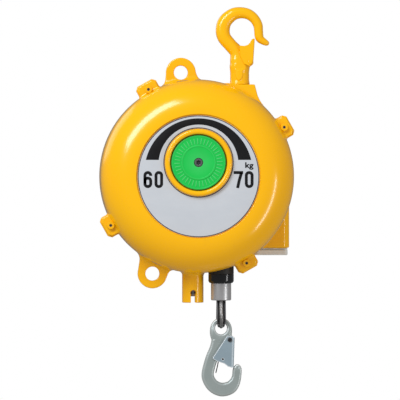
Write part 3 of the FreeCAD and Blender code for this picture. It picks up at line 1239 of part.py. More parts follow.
def loop_path(radius):
    """Teardrop in the YZ plane: two legs from the ferrule and a bend round the thimble."""
    leg_y = ROPE_D / 2.0 + 0.4
    top_z = FERRULE_LOW_Z + ROPE_D
    drop = top_z - LOOP_CENTRE_Z
    reach = math.hypot(leg_y, drop)
    lean = math.atan2(drop, leg_y)
    touch = lean - math.acos(radius / reach)
    right = V(ROPE_X, ROPE_Y + radius * math.cos(touch), LOOP_CENTRE_Z + radius * math.sin(touch))
    left = V(ROPE_X, ROPE_Y - radius * math.cos(touch), LOOP_CENTRE_Z + radius * math.sin(touch))
    bottom = V(ROPE_X, ROPE_Y, LOOP_CENTRE_Z - radius)
    start = V(ROPE_X, ROPE_Y + leg_y, top_z)
    end = V(ROPE_X, ROPE_Y - leg_y, top_z)
    return start, right, bottom, left, end


def rope_loop():
    start, right, bottom, left, end = loop_path(LOOP_R)
    path = Part.Wire([Part.LineSegment(start, right).toShape(),
                      Part.Arc(right, bottom, left).toShape(),
                      Part.LineSegment(left, end).toShape()])
    section = Part.Wire(Part.Circle(start, right - start, ROPE_D / 2.0 - 0.05).toShape())
    rope = path.makePipeShell([section], True, False)
    return rope.cut(rod_z(FERRULE_R, FERRULE_LOW_Z - SEAT_GAP, FERRULE_TOP_Z, ROPE_X, ROPE_Y))


def thimble():
    """Steel channel that lines the loop: a floor and two flanges round the bend."""
    outer_r = THIMBLE_R + THIMBLE_T
    flange_r = LOOP_R + 0.6
    half = THIMBLE_W / 2.0
    ring = Part.makeCylinder(outer_r, THIMBLE_W, V(ROPE_X - half, ROPE_Y, LOOP_CENTRE_Z), X_DIR)
    for x in (ROPE_X - half, ROPE_X + half - THIMBLE_T):
        ring = ring.fuse(Part.makeCylinder(flange_r, THIMBLE_T, V(x, ROPE_Y, LOOP_CENTRE_Z), X_DIR))
    ring = ring.removeSplitter()
    bore = Part.makeCylinder(THIMBLE_R, THIMBLE_W, V(ROPE_X - half, ROPE_Y, LOOP_CENTRE_Z), X_DIR)
    opening = block(ROPE_X - half, ROPE_X + half, ROPE_Y - flange_r, ROPE_Y + flange_r,
                    LOOP_CENTRE_Z + THIMBLE_R * 0.75, LOOP_CENTRE_Z + 2.0 * flange_r)
    return ring.cut(bore).cut(opening)


# ---- lower hook -------------------------------------------------------------------------------------------------------------


def lower_hook():
    """Forged eye hook: round eye, flat body that sweeps left, bowl and slim tip."""
    eye = tube_y(EYE_R, EYE_HOLE_R, ROPE_Y - EYE_T / 2.0, ROPE_Y + EYE_T / 2.0, ROPE_X, EYE_Z)
    rims = [edge for edge in eye.Edges if len(edge.Vertexes) == 1]
    eye = eye.makeFillet(EYE_ROUND, rims)
    mean = (LOAD_BACK_W + LOAD_NOSE_W) / 2.0
    stations = [
        (ROPE_X - 0.4, EYE_Z - EYE_HOLE_R - 0.8, -92.0, 24.5, 9.0),
        (ROPE_X - 1.0, EYE_Z - EYE_HOLE_R - 7.0, -95.0, 21.5, 10.5),
        (ROPE_X - 6.0, EYE_Z - EYE_HOLE_R - 18.0, -110.0, 17.0, 11.5),
        (ROPE_X - 12.0, EYE_Z - EYE_HOLE_R - 30.0, -118.0, 15.0, LOAD_BAR_T),
    ]
    bends = [(178.0, LOAD_BACK_W, LOAD_BAR_T), (205.0, 15.8, LOAD_BAR_T), (235.0, 16.4, LOAD_BAR_T),
             (265.0, LOAD_BASE_W, LOAD_BAR_T), (295.0, 15.0, 11.5), (325.0, mean, 10.8),
             (352.0, LOAD_NOSE_W, 9.6)]
    for angle, width, thick in bends:
        stations.append(bowl_station(angle, LOAD_BOWL_X, LOAD_BOWL_Z, LOAD_BOWL_R, width, thick, 1))
    tip_x = LOAD_BOWL_X + LOAD_BOWL_R + 4.4
    stations += [
        (tip_x, LOAD_BOWL_Z + 5.5, 92.0, 7.6, LOAD_TIP_T),
        (tip_x - 0.4, LOAD_BOWL_Z + 9.6, 96.0, 5.0, 6.0),
    ]
    bar = forged_bar(stations, ROPE_Y, 0.7)
    lug_t = LOAD_CHEEK_T
    cheek = rod_y(5.4, ROPE_Y - lug_t / 2.0, ROPE_Y + lug_t / 2.0, LOAD_PIN_X, LOAD_PIN_Z)
    neck = plate_xz([(ROPE_X + 2.0, EYE_Z - EYE_HOLE_R - 1.5), (LOAD_PIN_X + 3.5, LOAD_PIN_Z + 4.2),
                     (LOAD_PIN_X, LOAD_PIN_Z - 5.2), (ROPE_X + 2.0, LOAD_PIN_Z - 9.0)],
                    ROPE_Y - lug_t / 2.0, ROPE_Y + lug_t / 2.0)
    hole = rod_y(EYE_HOLE_R, ROPE_Y - LOAD_BAR_T, ROPE_Y + LOAD_BAR_T, ROPE_X, EYE_Z)
    solid = joined([bar.cut(hole), neck.cut(hole), eye, cheek])
    return solid.cut(rod_y(LOAD_PIN_R + SLIP_FIT, ROPE_Y - lug_t, ROPE_Y + lug_t, LOAD_PIN_X, LOAD_PIN_Z))




def lower_latch():
    """Sheet latch of the lower hook: two cheeks joined along the mouth's side."""
    outline = [
        (LOAD_PIN_X - 3.0, LOAD_PIN_Z + 4.6),
        (LOAD_PIN_X + 3.2, LOAD_PIN_Z + 3.0),
        (LOAD_PIN_X + 2.6, LOAD_PIN_Z - 34.6),
        (LOAD_PIN_X - 9.0, LOAD_PIN_Z - 28.0),
        (LOAD_PIN_X - 20.0, LOAD_PIN_Z - 24.0),
    ]
    bend = ((LOAD_PIN_X + 2.6 + 1.0, LOAD_PIN_Z - 34.6), (LOAD_PIN_X + 4.0, LOAD_PIN_Z - 5.0))
    return latch_channel(outline, bend, LOAD_PIN_X, LOAD_PIN_Z, LOAD_PIN_R + SLIP_FIT,
                         LOAD_LATCH_HALF, LOAD_LATCH_T)


def lower_latch_rivet():
    return cross_rivet(LOAD_PIN_X, LOAD_PIN_Z, LOAD_PIN_R, LOAD_LATCH_HALF + LOAD_LATCH_T + SEAT_GAP,
                       LOAD_HEAD_R, LOAD_HEAD_T)


PIECES = [
    front_housing, rear_housing, ear_bolts, ear_nuts, name_plate, hub_cap, cap_screw,
    main_shaft, shaft_washer, shaft_nut,
    drum, wound_rope, spring_arbor, arbor_screws,
    bearing_inner_rings, bearing_outer_rings, bearing_rollers,
    spring_case, spring_case_lid, main_spring, worm_wheel, case_screws, case_bush,
    worm, worm_bushes, worm_cap,
    upper_hook, hook_washer, hook_nut, hook_split_pin, upper_latch, upper_latch_rivet,
    lock_pin, lock_cross_pin, lock_spring,
    rope_guide, rope_run, bumper, ferrule, rope_loop, thimble,
    lower_hook, lower_latch, lower_latch_rivet,
]


def main():
    os.makedirs("parts", exist_ok=True)
    seat = V(-BOWL_X, -ROPE_Y, -(BOWL_Z + BOWL_R))
    for make in PIECES:
        solid = make()
        solid.translate(seat)
        solid.exportStep("parts/" + make.__name__ + ".step")


main()
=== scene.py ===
"""Looks of a hanging spring balancer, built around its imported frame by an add-on's operators."""
import json
import math

import bmesh
import bpy
import numpy as np
from mathutils import Matrix, Vector


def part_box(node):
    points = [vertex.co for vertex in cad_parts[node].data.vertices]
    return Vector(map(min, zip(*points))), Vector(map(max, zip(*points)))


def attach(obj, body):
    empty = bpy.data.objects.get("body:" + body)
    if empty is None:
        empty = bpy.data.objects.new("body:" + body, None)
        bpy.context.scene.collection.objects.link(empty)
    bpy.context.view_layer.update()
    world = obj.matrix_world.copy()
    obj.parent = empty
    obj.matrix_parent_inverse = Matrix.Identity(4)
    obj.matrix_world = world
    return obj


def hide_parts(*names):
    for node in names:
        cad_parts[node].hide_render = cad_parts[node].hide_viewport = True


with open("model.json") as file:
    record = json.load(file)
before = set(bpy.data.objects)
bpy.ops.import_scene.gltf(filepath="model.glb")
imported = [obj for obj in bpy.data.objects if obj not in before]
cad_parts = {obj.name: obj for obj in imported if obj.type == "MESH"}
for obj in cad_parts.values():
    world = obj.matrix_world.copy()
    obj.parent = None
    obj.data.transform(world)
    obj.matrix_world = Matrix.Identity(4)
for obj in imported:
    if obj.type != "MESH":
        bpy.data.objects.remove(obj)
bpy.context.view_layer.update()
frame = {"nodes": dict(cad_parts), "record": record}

bl_info = {
    "name": "Spring Balancer",
    "version": (1, 0, 0),
    "blender": (4, 5, 0),
    "location": "View3D > Sidebar > Balancer",
    "description": "Builds the visible pieces and the finishes of a hanging spring balancer",
    "category": "Add Mesh",
}

MM = 0.001
X, Y, Z = 0, 1, 2


# ---- places read from the frame ------------------------------------------------------------------
def low(node):
    """Lowest corner of a node."""
    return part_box(node)[0]


def high(node):
    """Highest corner of a node."""
    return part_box(node)[1]


def middle(node):
    """Middle of a node's box."""
    return (low(node) + high(node)) / 2


# Forms are drawn in millimetres from the drum's axis: X right, Z up, and Y to the rear of a
# plane that lies 10 mm behind the rope.
ORIGIN = Vector((middle("hub_cap").x, middle("ferrule").y + 10.0 * MM, middle("hub_cap").z))


def drawn(place):
    """A place of the frame in millimetres from the drum's axis."""
    return (place - ORIGIN) / MM


def span(node, axis):
    """Lowest and highest drawn coordinate of a node along an axis."""
    return drawn(low(node))[axis], drawn(high(node))[axis]


def halfway(node, axis):
    """Middle drawn coordinate of a node along an axis."""
    return sum(span(node, axis)) / 2.0


DROP = -drawn(middle("name_plate")).z       # the barrel's centre lies below the drum's axis
ROPE = drawn(middle("ferrule"))
LOCK = drawn(middle("lock_pin"))
NECK = drawn(middle("hook_nut"))
WORM = drawn(middle("worm"))
UPPER_PIN = drawn(middle("upper_latch_rivet"))
LOWER_PIN = drawn(middle("lower_latch_rivet"))
EYE_Z = span("lower_hook", Z)[1] - 13.0     # centre of the lower hook's eye
LIP_Y = span("front_housing", Y)[0]
BOSS_Y = span("rear_housing", Y)[1]


# ---- node trees ----------------------------------------------------------------------------------
class Value:
    """A socket that arithmetic is written on; each expression adds its Math nodes."""

    def __init__(self, graph, socket):
        self.graph = graph
        self.socket = socket

    def math(self, operation, *values):
        return self.graph.node("ShaderNodeMath", {"operation": operation}, values)

    def __add__(self, other):
        return self.math("ADD", self, other)

    def __sub__(self, other):
        return self.math("SUBTRACT", self, other)

    def __rsub__(self, other):
        return self.math("SUBTRACT", other, self)

    def __mul__(self, other):
        return self.math("MULTIPLY", self, other)

    def __truediv__(self, other):
        return self.math("DIVIDE", self, other)

    def __rtruediv__(self, other):
        return self.math("DIVIDE", other, self)

    def __gt__(self, other):
        return self.math("GREATER_THAN", self, other)

    def __lt__(self, other):
        return self.math("LESS_THAN", self, other)

    def clipped(self):
        return self.graph.node("ShaderNodeClamp", {}, [self])

    def sine(self):
        return self.math("SINE", self)

    def cosine(self):
        return self.math("COSINE", self)

    __radd__ = __add__
    __rmul__ = __mul__


class Graph:
    """Adds nodes to one tree, a material's or a Geometry Nodes modifier's."""

    def __init__(self, tree):
        self.tree = tree

    def node(self, kind, settings=None, sockets=(), output=0):
        """A node with its settings made first, then its sockets, by name or by place."""
        made = self.tree.nodes.new(kind)
        for name, value in (settings or {}).items():
            if name == "stops":
                self.set_stops(made.color_ramp, value)
            else:
                setattr(made, name, value)
        pairs = sockets.items() if isinstance(sockets, dict) else enumerate(sockets)
        for key, value in pairs:
            if isinstance(value, Value):
                self.tree.links.new(value.socket, made.inputs[key])
            else:
                made.inputs[key].default_value = value
        return Value(self, made.outputs[output]) if len(made.outputs) else made

    def set_stops(self, ramp, stops):
        while len(ramp.elements) < len(stops):
            ramp.elements.new(1.0)
        for element, (position, colour) in zip(ramp.elements, stops):
            element.position = position
            element.color = colour

    def place(self, scale=(1.0, 1.0, 1.0)):
        """Object coordinates, stretched."""
        raw = self.node("ShaderNodeTexCoord", output="Object")
        return self.node("ShaderNodeMapping", {}, {"Vector": raw, "Scale": scale})

    def noise(self, place, scale, detail=3.0, roughness=0.55):
        return self.node("ShaderNodeTexNoise", {}, {
            "Vector": place, "Scale": scale, "Detail": detail, "Roughness": roughness})

    def tint(self, factor, first, second):
        """Colour that goes from first to second."""
        return self.node("ShaderNodeMix", {"data_type": "RGBA"}, {
            0: factor, 6: first, 7: second}, output=2)

    def bump(self, height, distance, strength=1.0):
        return self.node("ShaderNodeBump", {}, {
            "Height": height, "Distance": distance, "Strength": strength})

    def edge(self):
        """0 on flat stretches and 1 on outer edges, as the mesh code stores it."""
        return self.node("ShaderNodeAttribute", {"attribute_name": "edge"}, output="Fac")


def finish(name, build, **constants):
    """A material: build gives what varies over the surface, constants what doesn't."""
    material = bpy.data.materials.new(name)
    material.use_nodes = True
    material.node_tree.nodes.clear()
    graph = Graph(material.node_tree)
    sockets = {key.replace("_", " "): value for key, value in constants.items()}
    sockets.update(build(graph))
    shader = graph.node("ShaderNodeBsdfPrincipled", {}, sockets)
    graph.node("ShaderNodeOutputMaterial", {}, {"Surface": shader})
    return material


# ---- finishes ------------------------------------------------------------------------------------
def rgb(red, green, blue):
    return (red, green, blue, 1.0)


def enamel(g):
    """Thick glossy paint: slight orange peel, soft shade drift, thinner and browner on edges."""
    place = g.place()
    drift = g.noise(place, 9.0, 2.0)
    fleck = (g.noise(place, 420.0, 5.0, 0.7) > 0.66) * g.edge()
    dust = g.noise(place, 55.0, 6.0, 0.65)
    looks = bpy.context.scene.balancer_looks
    base = g.tint(drift, (*looks.enamel, 1.0), (*looks.enamel_deep, 1.0))
    base = g.tint(((dust - 0.62) * 3.0).clipped() * 0.35, base, rgb(0.55, 0.30, 0.02))
    base = g.tint(fleck * 0.75, base, rgb(0.20, 0.13, 0.06))
    peel = g.noise(place, 620.0, 2.0) + g.noise(place, 90.0, 2.0) * 0.8
    return {"Base Color": base, "Roughness": 0.22 + dust * 0.10 + fleck * 0.3,
            "Normal": g.bump(peel, 0.00003, 0.4)}


def plate_print(g):
    """Satin sheet aluminium under a pale print: fine rolling lines and faint handling marks."""
    rolled = g.noise(g.place((1.0, 1.0, 34.0)), 160.0, 4.0)
    smear = g.noise(g.place((0.4, 1.0, 1.0)), 60.0, 5.0, 0.7)
    base = g.tint(smear, rgb(0.57, 0.61, 0.66), rgb(0.65, 0.69, 0.73))
    base = g.tint(rolled * 0.25, base, rgb(0.51, 0.54, 0.59))
    return {"Base Color": base, "Roughness": 0.36 + smear * 0.16,
            "Normal": g.bump(rolled, 0.00002, 0.4)}


def black_ink(g):
    """Screen-printed ink with a thin, slightly broken film."""
    grain = g.noise(g.place(), 900.0, 4.0)
    return {"Base Color": g.tint(grain, rgb(0.006, 0.006, 0.007), rgb(0.014, 0.014, 0.016)),
            "Roughness": 0.34 + grain * 0.2, "Normal": g.bump(grain, 0.00001, 0.5)}


def green_plastic(g):
    """Moulded plastic with a fine sparked texture and paler, rubbed crests."""
    place = g.place()
    spark = g.noise(place, 1500.0, 2.0)
    drift = g.noise(place, 70.0, 4.0)
    base = g.tint(drift, rgb(0.004, 0.52, 0.062), rgb(0.010, 0.60, 0.095))
    base = g.tint(g.edge() * 0.45, base, rgb(0.22, 0.78, 0.34))
    return {"Base Color": base, "Roughness": 0.30 + spark * 0.16,
            "Normal": g.bump(spark, 0.00003, 0.35)}


def pale_plastic(g):
    """Aged off-white moulding with a dull grain and grey dirt."""
    place = g.place()
    dirt = g.noise(place, 85.0, 6.0, 0.7)
    grain = g.noise(place, 1100.0, 2.0)
    base = g.tint(((dirt - 0.45) * 2.0).clipped(), rgb(0.74, 0.74, 0.71), rgb(0.50, 0.49, 0.46))
    return {"Base Color": base, "Roughness": 0.44 + grain * 0.2,
            "Normal": g.bump(grain, 0.00004, 0.4)}


def glossy_rubber(g):
    """Moulded black rubber: wet-looking skin with faint flow marks."""
    place = g.place()
    flow = g.noise(g.place((1.0, 1.0, 0.3)), 130.0, 4.0)
    pores = g.noise(place, 1300.0, 3.0)
    return {"Base Color": g.tint(flow, rgb(0.003, 0.003, 0.004), rgb(0.010, 0.010, 0.012)),
            "Roughness": 0.13 + flow * 0.10 + pores * 0.05,
            "Normal": g.bump(pores, 0.00003, 0.3)}


def black_nylon(g):
    """Dull black nylon with a fine grain."""
    place = g.place()
    grain = g.noise(place, 1000.0, 3.0)
    return {"Base Color": g.tint(grain, rgb(0.012, 0.012, 0.012), rgb(0.035, 0.034, 0.033)),
            "Roughness": 0.42 + grain * 0.2, "Normal": g.bump(grain, 0.00004, 0.4)}


def plated(g, first, second, rubbed_edge_and_highlight_colour):
    """Zinc plating: crystal bloom, faint stains, edges lightened partly as rubbed wear and partly as a
    painted highlight, fine scratches.
    """
    place = g.place()
    bloom = g.node("ShaderNodeTexVoronoi", {}, {"Vector": place, "Scale": 420.0}, output="Distance")
    stain = g.noise(place, 42.0, 6.0, 0.65)
    scratch = g.noise(g.place((1.0, 1.0, 18.0)), 150.0, 4.0, 0.7)
    base = g.tint(stain, first, second)
    # edges lightened towards near white: partly rubbed wear, partly a painted highlight of the lamps on
    # rounded edges
    base = g.tint((g.edge() * (0.9 + scratch * 0.6)).clipped() * 0.95, base, rubbed_edge_and_highlight_colour)
    rough = 0.27 + stain * 0.15 + bloom * 0.05 - g.edge() * 0.08
    return {"Base Color": base, "Roughness": rough,
            "Normal": g.bump(scratch + bloom * 0.4, 0.00003, 0.5)}


def zinc(g):
    """Greenish zinc of the load hook and the fasteners."""
    # the last colour lightens the edges: rubbed wear and a painted highlight
    return plated(g, rgb(0.31, 0.37, 0.36), rgb(0.43, 0.49, 0.48), rgb(0.90, 0.94, 0.94))


def latch_zinc(g):
    """Bluer zinc of the load hook's latch."""
    # the last colour lightens the edges: rubbed wear and a painted highlight
    return plated(g, rgb(0.18, 0.29, 0.36), rgb(0.29, 0.41, 0.48), rgb(0.86, 0.93, 0.97))


def turned_steel(g):
    """Lathe-turned steel with fine rings round the upright axis."""
    rings = g.noise(g.place((0.02, 0.02, 1.0)), 900.0, 2.0)
    stain = g.noise(g.place(), 60.0, 5.0, 0.65)
    base = g.tint(stain, rgb(0.60, 0.60, 0.61), rgb(0.76, 0.76, 0.77))
    return {"Base Color": g.tint(rings * 0.3, base, rgb(0.46, 0.46, 0.48)),
            "Roughness": 0.30 + rings * 0.08 + stain * 0.06,
            "Normal": g.bump(rings, 0.000004, 0.2)}


def wire(g):
    """Oiled wire rope: grey wires with dark grease between them."""
    place = g.place()
    grease = g.noise(place, 260.0, 5.0, 0.7)
    base = g.tint(grease, rgb(0.40, 0.39, 0.38), rgb(0.15, 0.14, 0.13))
    base = g.tint(g.edge() * 0.7, base, rgb(0.72, 0.71, 0.70))
    return {"Base Color": base, "Roughness": 0.28 + grease * 0.3,
            "Normal": g.bump(grease, 0.00005, 0.6)}


def machined_steel(g):
    """Oiled bearing steel with cutter marks."""
    marks = g.noise(g.place((1.0, 12.0, 1.0)), 210.0, 4.0)
    oil = g.noise(g.place(), 38.0, 5.0, 0.6)
    base = g.tint(oil, rgb(0.50, 0.51, 0.53), rgb(0.66, 0.66, 0.67))
    return {"Base Color": g.tint(marks * 0.3, base, rgb(0.34, 0.35, 0.37)),
            "Roughness": 0.20 + oil * 0.16 + marks * 0.06, "Normal": g.bump(marks, 0.00003, 0.5)}


def black_steel(g):
    """Blackened steel, rubbed bare here and there."""
    place = g.place()
    rub = g.noise(place, 210.0, 6.0, 0.7)
    worn = ((rub - 0.60) * 6.0).clipped()
    base = g.tint(worn * 0.6, rgb(0.018, 0.018, 0.021), rgb(0.22, 0.22, 0.23))
    base = g.tint(g.edge() * 0.35, base, rgb(0.30, 0.30, 0.31))
    return {"Base Color": base, "Roughness": 0.34 + rub * 0.22, "Metallic": 0.2 + worn * 0.6,
            "Normal": g.bump(rub, 0.00004, 0.5)}


def cast_metal(g):
    """Sand-textured casting with smoother, brighter high spots."""
    place = g.place()
    sand = g.noise(place, 700.0, 6.0, 0.75)
    cloud = g.noise(place, 45.0, 4.0)
    base = g.tint(cloud, rgb(0.40, 0.41, 0.42), rgb(0.55, 0.56, 0.57))
    return {"Base Color": g.tint(sand * 0.5, base, rgb(0.30, 0.30, 0.31)),
            "Roughness": 0.46 + sand * 0.22, "Normal": g.bump(sand, 0.00012, 0.6)}


def blued_steel(g):
    """Spring strip tempered blue, straw-coloured in patches."""
    temper = g.noise(g.place(), 34.0, 3.0)
    drawn = g.noise(g.place((1.0, 20.0, 1.0)), 120.0, 3.0)
    base = g.node("ShaderNodeValToRGB", {"stops": [
        (0.30, rgb(0.060, 0.085, 0.170)), (0.55, rgb(0.110, 0.120, 0.190)),
        (0.75, rgb(0.260, 0.190, 0.120))]}, [temper])
    return {"Base Color": base, "Roughness": 0.22 + drawn * 0.14,
            "Normal": g.bump(drawn, 0.00003, 0.4)}


def bronze(g):
    """Bearing bronze: warm, slightly mottled, with turning marks."""
    marks = g.noise(g.place((1.0, 10.0, 1.0)), 200.0, 3.0)
    mottle = g.noise(g.place(), 120.0, 5.0, 0.7)
    base = g.tint(mottle, rgb(0.56, 0.34, 0.13), rgb(0.70, 0.47, 0.20))
    return {"Base Color": g.tint(marks * 0.3, base, rgb(0.33, 0.19, 0.08)),
            "Roughness": 0.27 + mottle * 0.2, "Normal": g.bump(marks, 0.00003, 0.5)}


RECIPES = {
    "housing_paint": (enamel, {"Coat_Weight": 1.0, "Coat_Roughness": 0.16, "Specular_IOR_Level": 0.12}),
    "plate_print": (plate_print, {"Metallic": 0.1, "Specular_IOR_Level": 0.35}),
    "scale_ink": (black_ink, {"Specular_IOR_Level": 0.25}),
    "cap_plastic": (green_plastic, {"Specular_IOR_Level": 0.35}),
    "strip_plastic": (pale_plastic, {"Specular_IOR_Level": 0.4}),
    "bumper_rubber": (glossy_rubber, {"Specular_IOR_Level": 0.65, "Coat_Weight": 0.3,
                                      "Coat_Roughness": 0.05}),
    "guide_nylon": (black_nylon, {"Specular_IOR_Level": 0.4}),
    "zinc": (zinc, {"Metallic": 0.3}),
    "latch_zinc": (latch_zinc, {"Metallic": 0.3}),
    "ferrule_steel": (turned_steel, {"Metallic": 0.7}),
    "rope_wire": (wire, {"Metallic": 0.85}),
    "steel": (machined_steel, {"Metallic": 1.0}),
    "dark_steel": (black_steel, {}),
    "cast_metal": (cast_metal, {"Metallic": 0.7}),
    "spring_steel": (blued_steel, {"Metallic": 0.9}),
    "bronze": (bronze, {"Metallic": 0.95}),
}
MADE = {}


def material_of(slot):
    """Material of a slot, made once."""
    if slot not in MADE:
        build, constants = RECIPES[slot]
        MADE[slot] = finish(slot, build, **constants)
    return MADE[slot]


# ---- solid forms as distance fields, in millimetres ----------------------------------------------
def corner_join(first, second, rounding):
    """Overlap of two distances, with the edge between them rounded."""
    first = first + rounding
    second = second + rounding
    outside = np.hypot(np.maximum(first, 0.0), np.maximum(second, 0.0))
    return np.minimum(np.maximum(first, second), 0.0) + outside - rounding


def blended(first, second, size):
    """Union with a hollow fillet of about that size."""
    near = np.maximum(size - np.abs(first - second), 0.0) / size
    return np.minimum(first, second) - near * near * size / 4.0


def carved(body, tool, size=0.4):
    """body without tool, the rim slightly broken."""
    return -blended(-body, tool, size)


def rod(p, axis, across, radius, start, end, rounding=0.0):
    """Round bar along an axis; across is its place on the two other axes, in X, Y, Z order."""
    first, second = [i for i in (X, Y, Z) if i != axis]
    ring = np.hypot(p[:, first] - across[0], p[:, second] - across[1]) - radius
    ends = np.abs(p[:, axis] - (start + end) / 2.0) - (end - start) / 2.0
    return corner_join(ring, ends, rounding)


def inset(outline, amount):
    """A simple outline moved inwards by an amount."""
    points = [Vector(point) for point in outline]
    count = len(points)
    area = sum(points[i - 1].cross(points[i]) for i in range(count))
    side = 1.0 if area > 0.0 else -1.0
    moved = []
    for i, point in enumerate(points):
        back = (point - points[i - 1]).normalized()
        ahead = (points[(i + 1) % count] - point).normalized()
        normal_a = Vector((-back.y, back.x)) * side
        normal_b = Vector((-ahead.y, ahead.x)) * side
        middle_way = (normal_a + normal_b).normalized()
        moved.append(point + middle_way * amount / max(middle_way.dot(normal_a), 0.3))
    return [tuple(point) for point in moved]


def outline_distance(u, v, outline):
    """Signed distance to a closed outline in a plane."""
    square = np.full(u.shape, 1e9)
    inside = np.zeros(u.shape, bool)
    for i, (bu, bv) in enumerate(outline):
        au, av = outline[i - 1]
        eu, ev = bu - au, bv - av
        wu, wv = u - au, v - av
        along = np.clip((wu * eu + wv * ev) / (eu * eu + ev * ev), 0.0, 1.0)
        square = np.minimum(square, (wu - eu * along) ** 2 + (wv - ev * along) ** 2)
        crosses = (av > v) != (bv > v)
        span = bv - av if bv != av else 1e-12
        inside ^= crosses & (u < au + (v - av) / span * eu)
    return np.where(inside, -1.0, 1.0) * np.sqrt(square)


def slab(p, outline, start, end, rounding, corner=0.0):
    """Plate along Y with an (x, z) outline, its edges rounded and its corners too."""
    drawn = inset(outline, corner) if corner else outline
    flat = outline_distance(p[:, X], p[:, Z], drawn) - corner
    return corner_join(flat, np.abs(p[:, Y] - (start + end) / 2.0) - (end - start) / 2.0, rounding)


def spline(rows, per_span):
    """Catmull-Rom points through rows of numbers."""
    rows = np.array(rows, float)
    padded = np.vstack([2 * rows[0] - rows[1], rows, 2 * rows[-1] - rows[-2]])
    out = []
    for i in range(1, len(padded) - 2):
        a, b, c, d = padded[i - 1:i + 3]
        for t in np.arange(per_span) / per_span:
            out.append(0.5 * (2 * b + (c - a) * t + (2 * a - 5 * b + 4 * c - d) * t ** 2
                              + (3 * b - a - 3 * c + d) * t ** 3))
    out.append(rows[-1])
    return np.array(out)


def bar(p, stations, y, roundness):
    """Forged bar that runs in the XZ plane through (x, z, width, thickness) stations."""
    line = spline(stations, 14)
    best = np.full(len(p), 1e9)
    thick = np.zeros(len(p))
    for x, z, width, thickness in line:
        reach = np.hypot(p[:, X] - x, p[:, Z] - z) - width / 2.0
        closer = reach < best
        best = np.where(closer, reach, best)
        thick = np.where(closer, thickness, thick)
    deep = np.abs(p[:, Y] - y) - thick / 2.0
    return corner_join(best, deep, roundness * thick / 2.0)


def slope(field, p, reach):
    """Gradient of a field at points, by central differences."""
    out = np.empty_like(p)
    for axis in (X, Y, Z):
        step = np.zeros(3)
        step[axis] = reach
        out[:, axis] = (field(p + step) - field(p - step)) / (2.0 * reach)
    return out


def cell_corners(value, origin, step):
    """Number and middle crossing of every grid cell that the surface goes through."""
    cells = tuple(n - 1 for n in value.shape)
    total = np.zeros(cells)
    place = np.zeros((*cells, 3))
    crossings = []
    for axis in (X, Y, Z):
        ahead = [slice(None)] * 3
        behind = [slice(None)] * 3
        ahead[axis], behind[axis] = slice(1, None), slice(None, -1)
        a, b = value[tuple(behind)], value[tuple(ahead)]
        crosses = (a < 0.0) != (b < 0.0)
        gap = np.where(crosses, a - b, 1.0)
        index = np.indices(a.shape).astype(float)
        index[axis] += np.where(crosses, a / gap, 0.0)
        point = np.moveaxis(index, 0, -1) * step + origin
        first, second = [i for i in (X, Y, Z) if i != axis]
        for du in (0, 1):
            for dv in (0, 1):
                cut = [slice(None)] * 3
                cut[first] = slice(du, du + cells[first])
                cut[second] = slice(dv, dv + cells[second])
                part = crosses[tuple(cut)]
                total += part
                place += np.where(part[..., None], point[tuple(cut)], 0.0)
        crossings.append((crosses, a < 0.0))
    return total, place, crossings


def skin(field, lowest, highest, step):
    """Points, quads and normals of a field's zero surface, one point for each crossed cell."""
    origin = np.array(lowest, float) - 2.0 * step
    counts = np.ceil((np.array(highest, float) + 2.0 * step - origin) / step).astype(int) + 1
    index = np.stack(np.meshgrid(*[np.arange(n) for n in counts], indexing="ij"), -1)
    grid = index.reshape(-1, 3) * step + origin
    parts = np.array_split(grid, max(1, len(grid) // 300000))
    value = np.concatenate([field(part) for part in parts]).reshape(counts)
    total, place, crossings = cell_corners(value, origin, step)
    used = total > 0
    number = np.full(used.shape, -1)
    number[used] = np.arange(used.sum())
    points = place[used] / total[used][:, None]
    quads = []
    for axis, (crosses, starts_inside) in enumerate(crossings):
        first, second = (axis + 1) % 3, (axis + 2) % 3
        rows = np.argwhere(crosses)
        rows = rows[(rows[:, first] > 0) & (rows[:, second] > 0)]
        rows = rows[(rows[:, first] < used.shape[first]) & (rows[:, second] < used.shape[second])]
        ring = []
        for du, dv in ((-1, -1), (0, -1), (0, 0), (-1, 0)):
            cell = rows.copy()
            cell[:, first] += du
            cell[:, second] += dv
            ring.append(number[tuple(cell.T)])
        faces = np.stack(ring, 1)
        flip = ~starts_inside[tuple(rows.T)]
        faces[flip] = faces[flip][:, ::-1]
        quads.append(faces)
    for _ in range(4):
        lean = slope(field, points, step * 0.1)
        size = np.maximum((lean ** 2).sum(1), 0.05)
        move = -(field(points) / size)[:, None] * lean
        points = points + np.clip(move, -step * 0.5, step * 0.5)
    return points, np.concatenate(quads), slope(field, points, step * 0.35)


def skinned(field, lowest, highest, step):
    """Mesh of a field, shaded by the field's own slope, with its outer edges marked."""
    points, quads, normals = skin(field, lowest, highest, step)
    mesh = bpy.data.meshes.new("form")
    mesh.from_pydata((points * MM + np.array(ORIGIN)).tolist(), [], quads.tolist())
    mesh.update()
    normals = normals / np.maximum(np.linalg.norm(normals, axis=1), 1e-9)[:, None]
    mesh.shade_smooth()
    mesh.normals_split_custom_set_from_vertices(normals.tolist())
    reach = max(step, 0.8)
    around = sum(field(points + sign * reach * np.eye(3)[axis])
                 for axis in (X, Y, Z) for sign in (-1.0, 1.0))
    crest = np.clip(around / reach * 1.6 - 0.25, 0.0, 1.0)
    mesh.attributes.new("edge", "FLOAT", "POINT").data.foreach_set("value", crest.astype(np.float32))
    return mesh


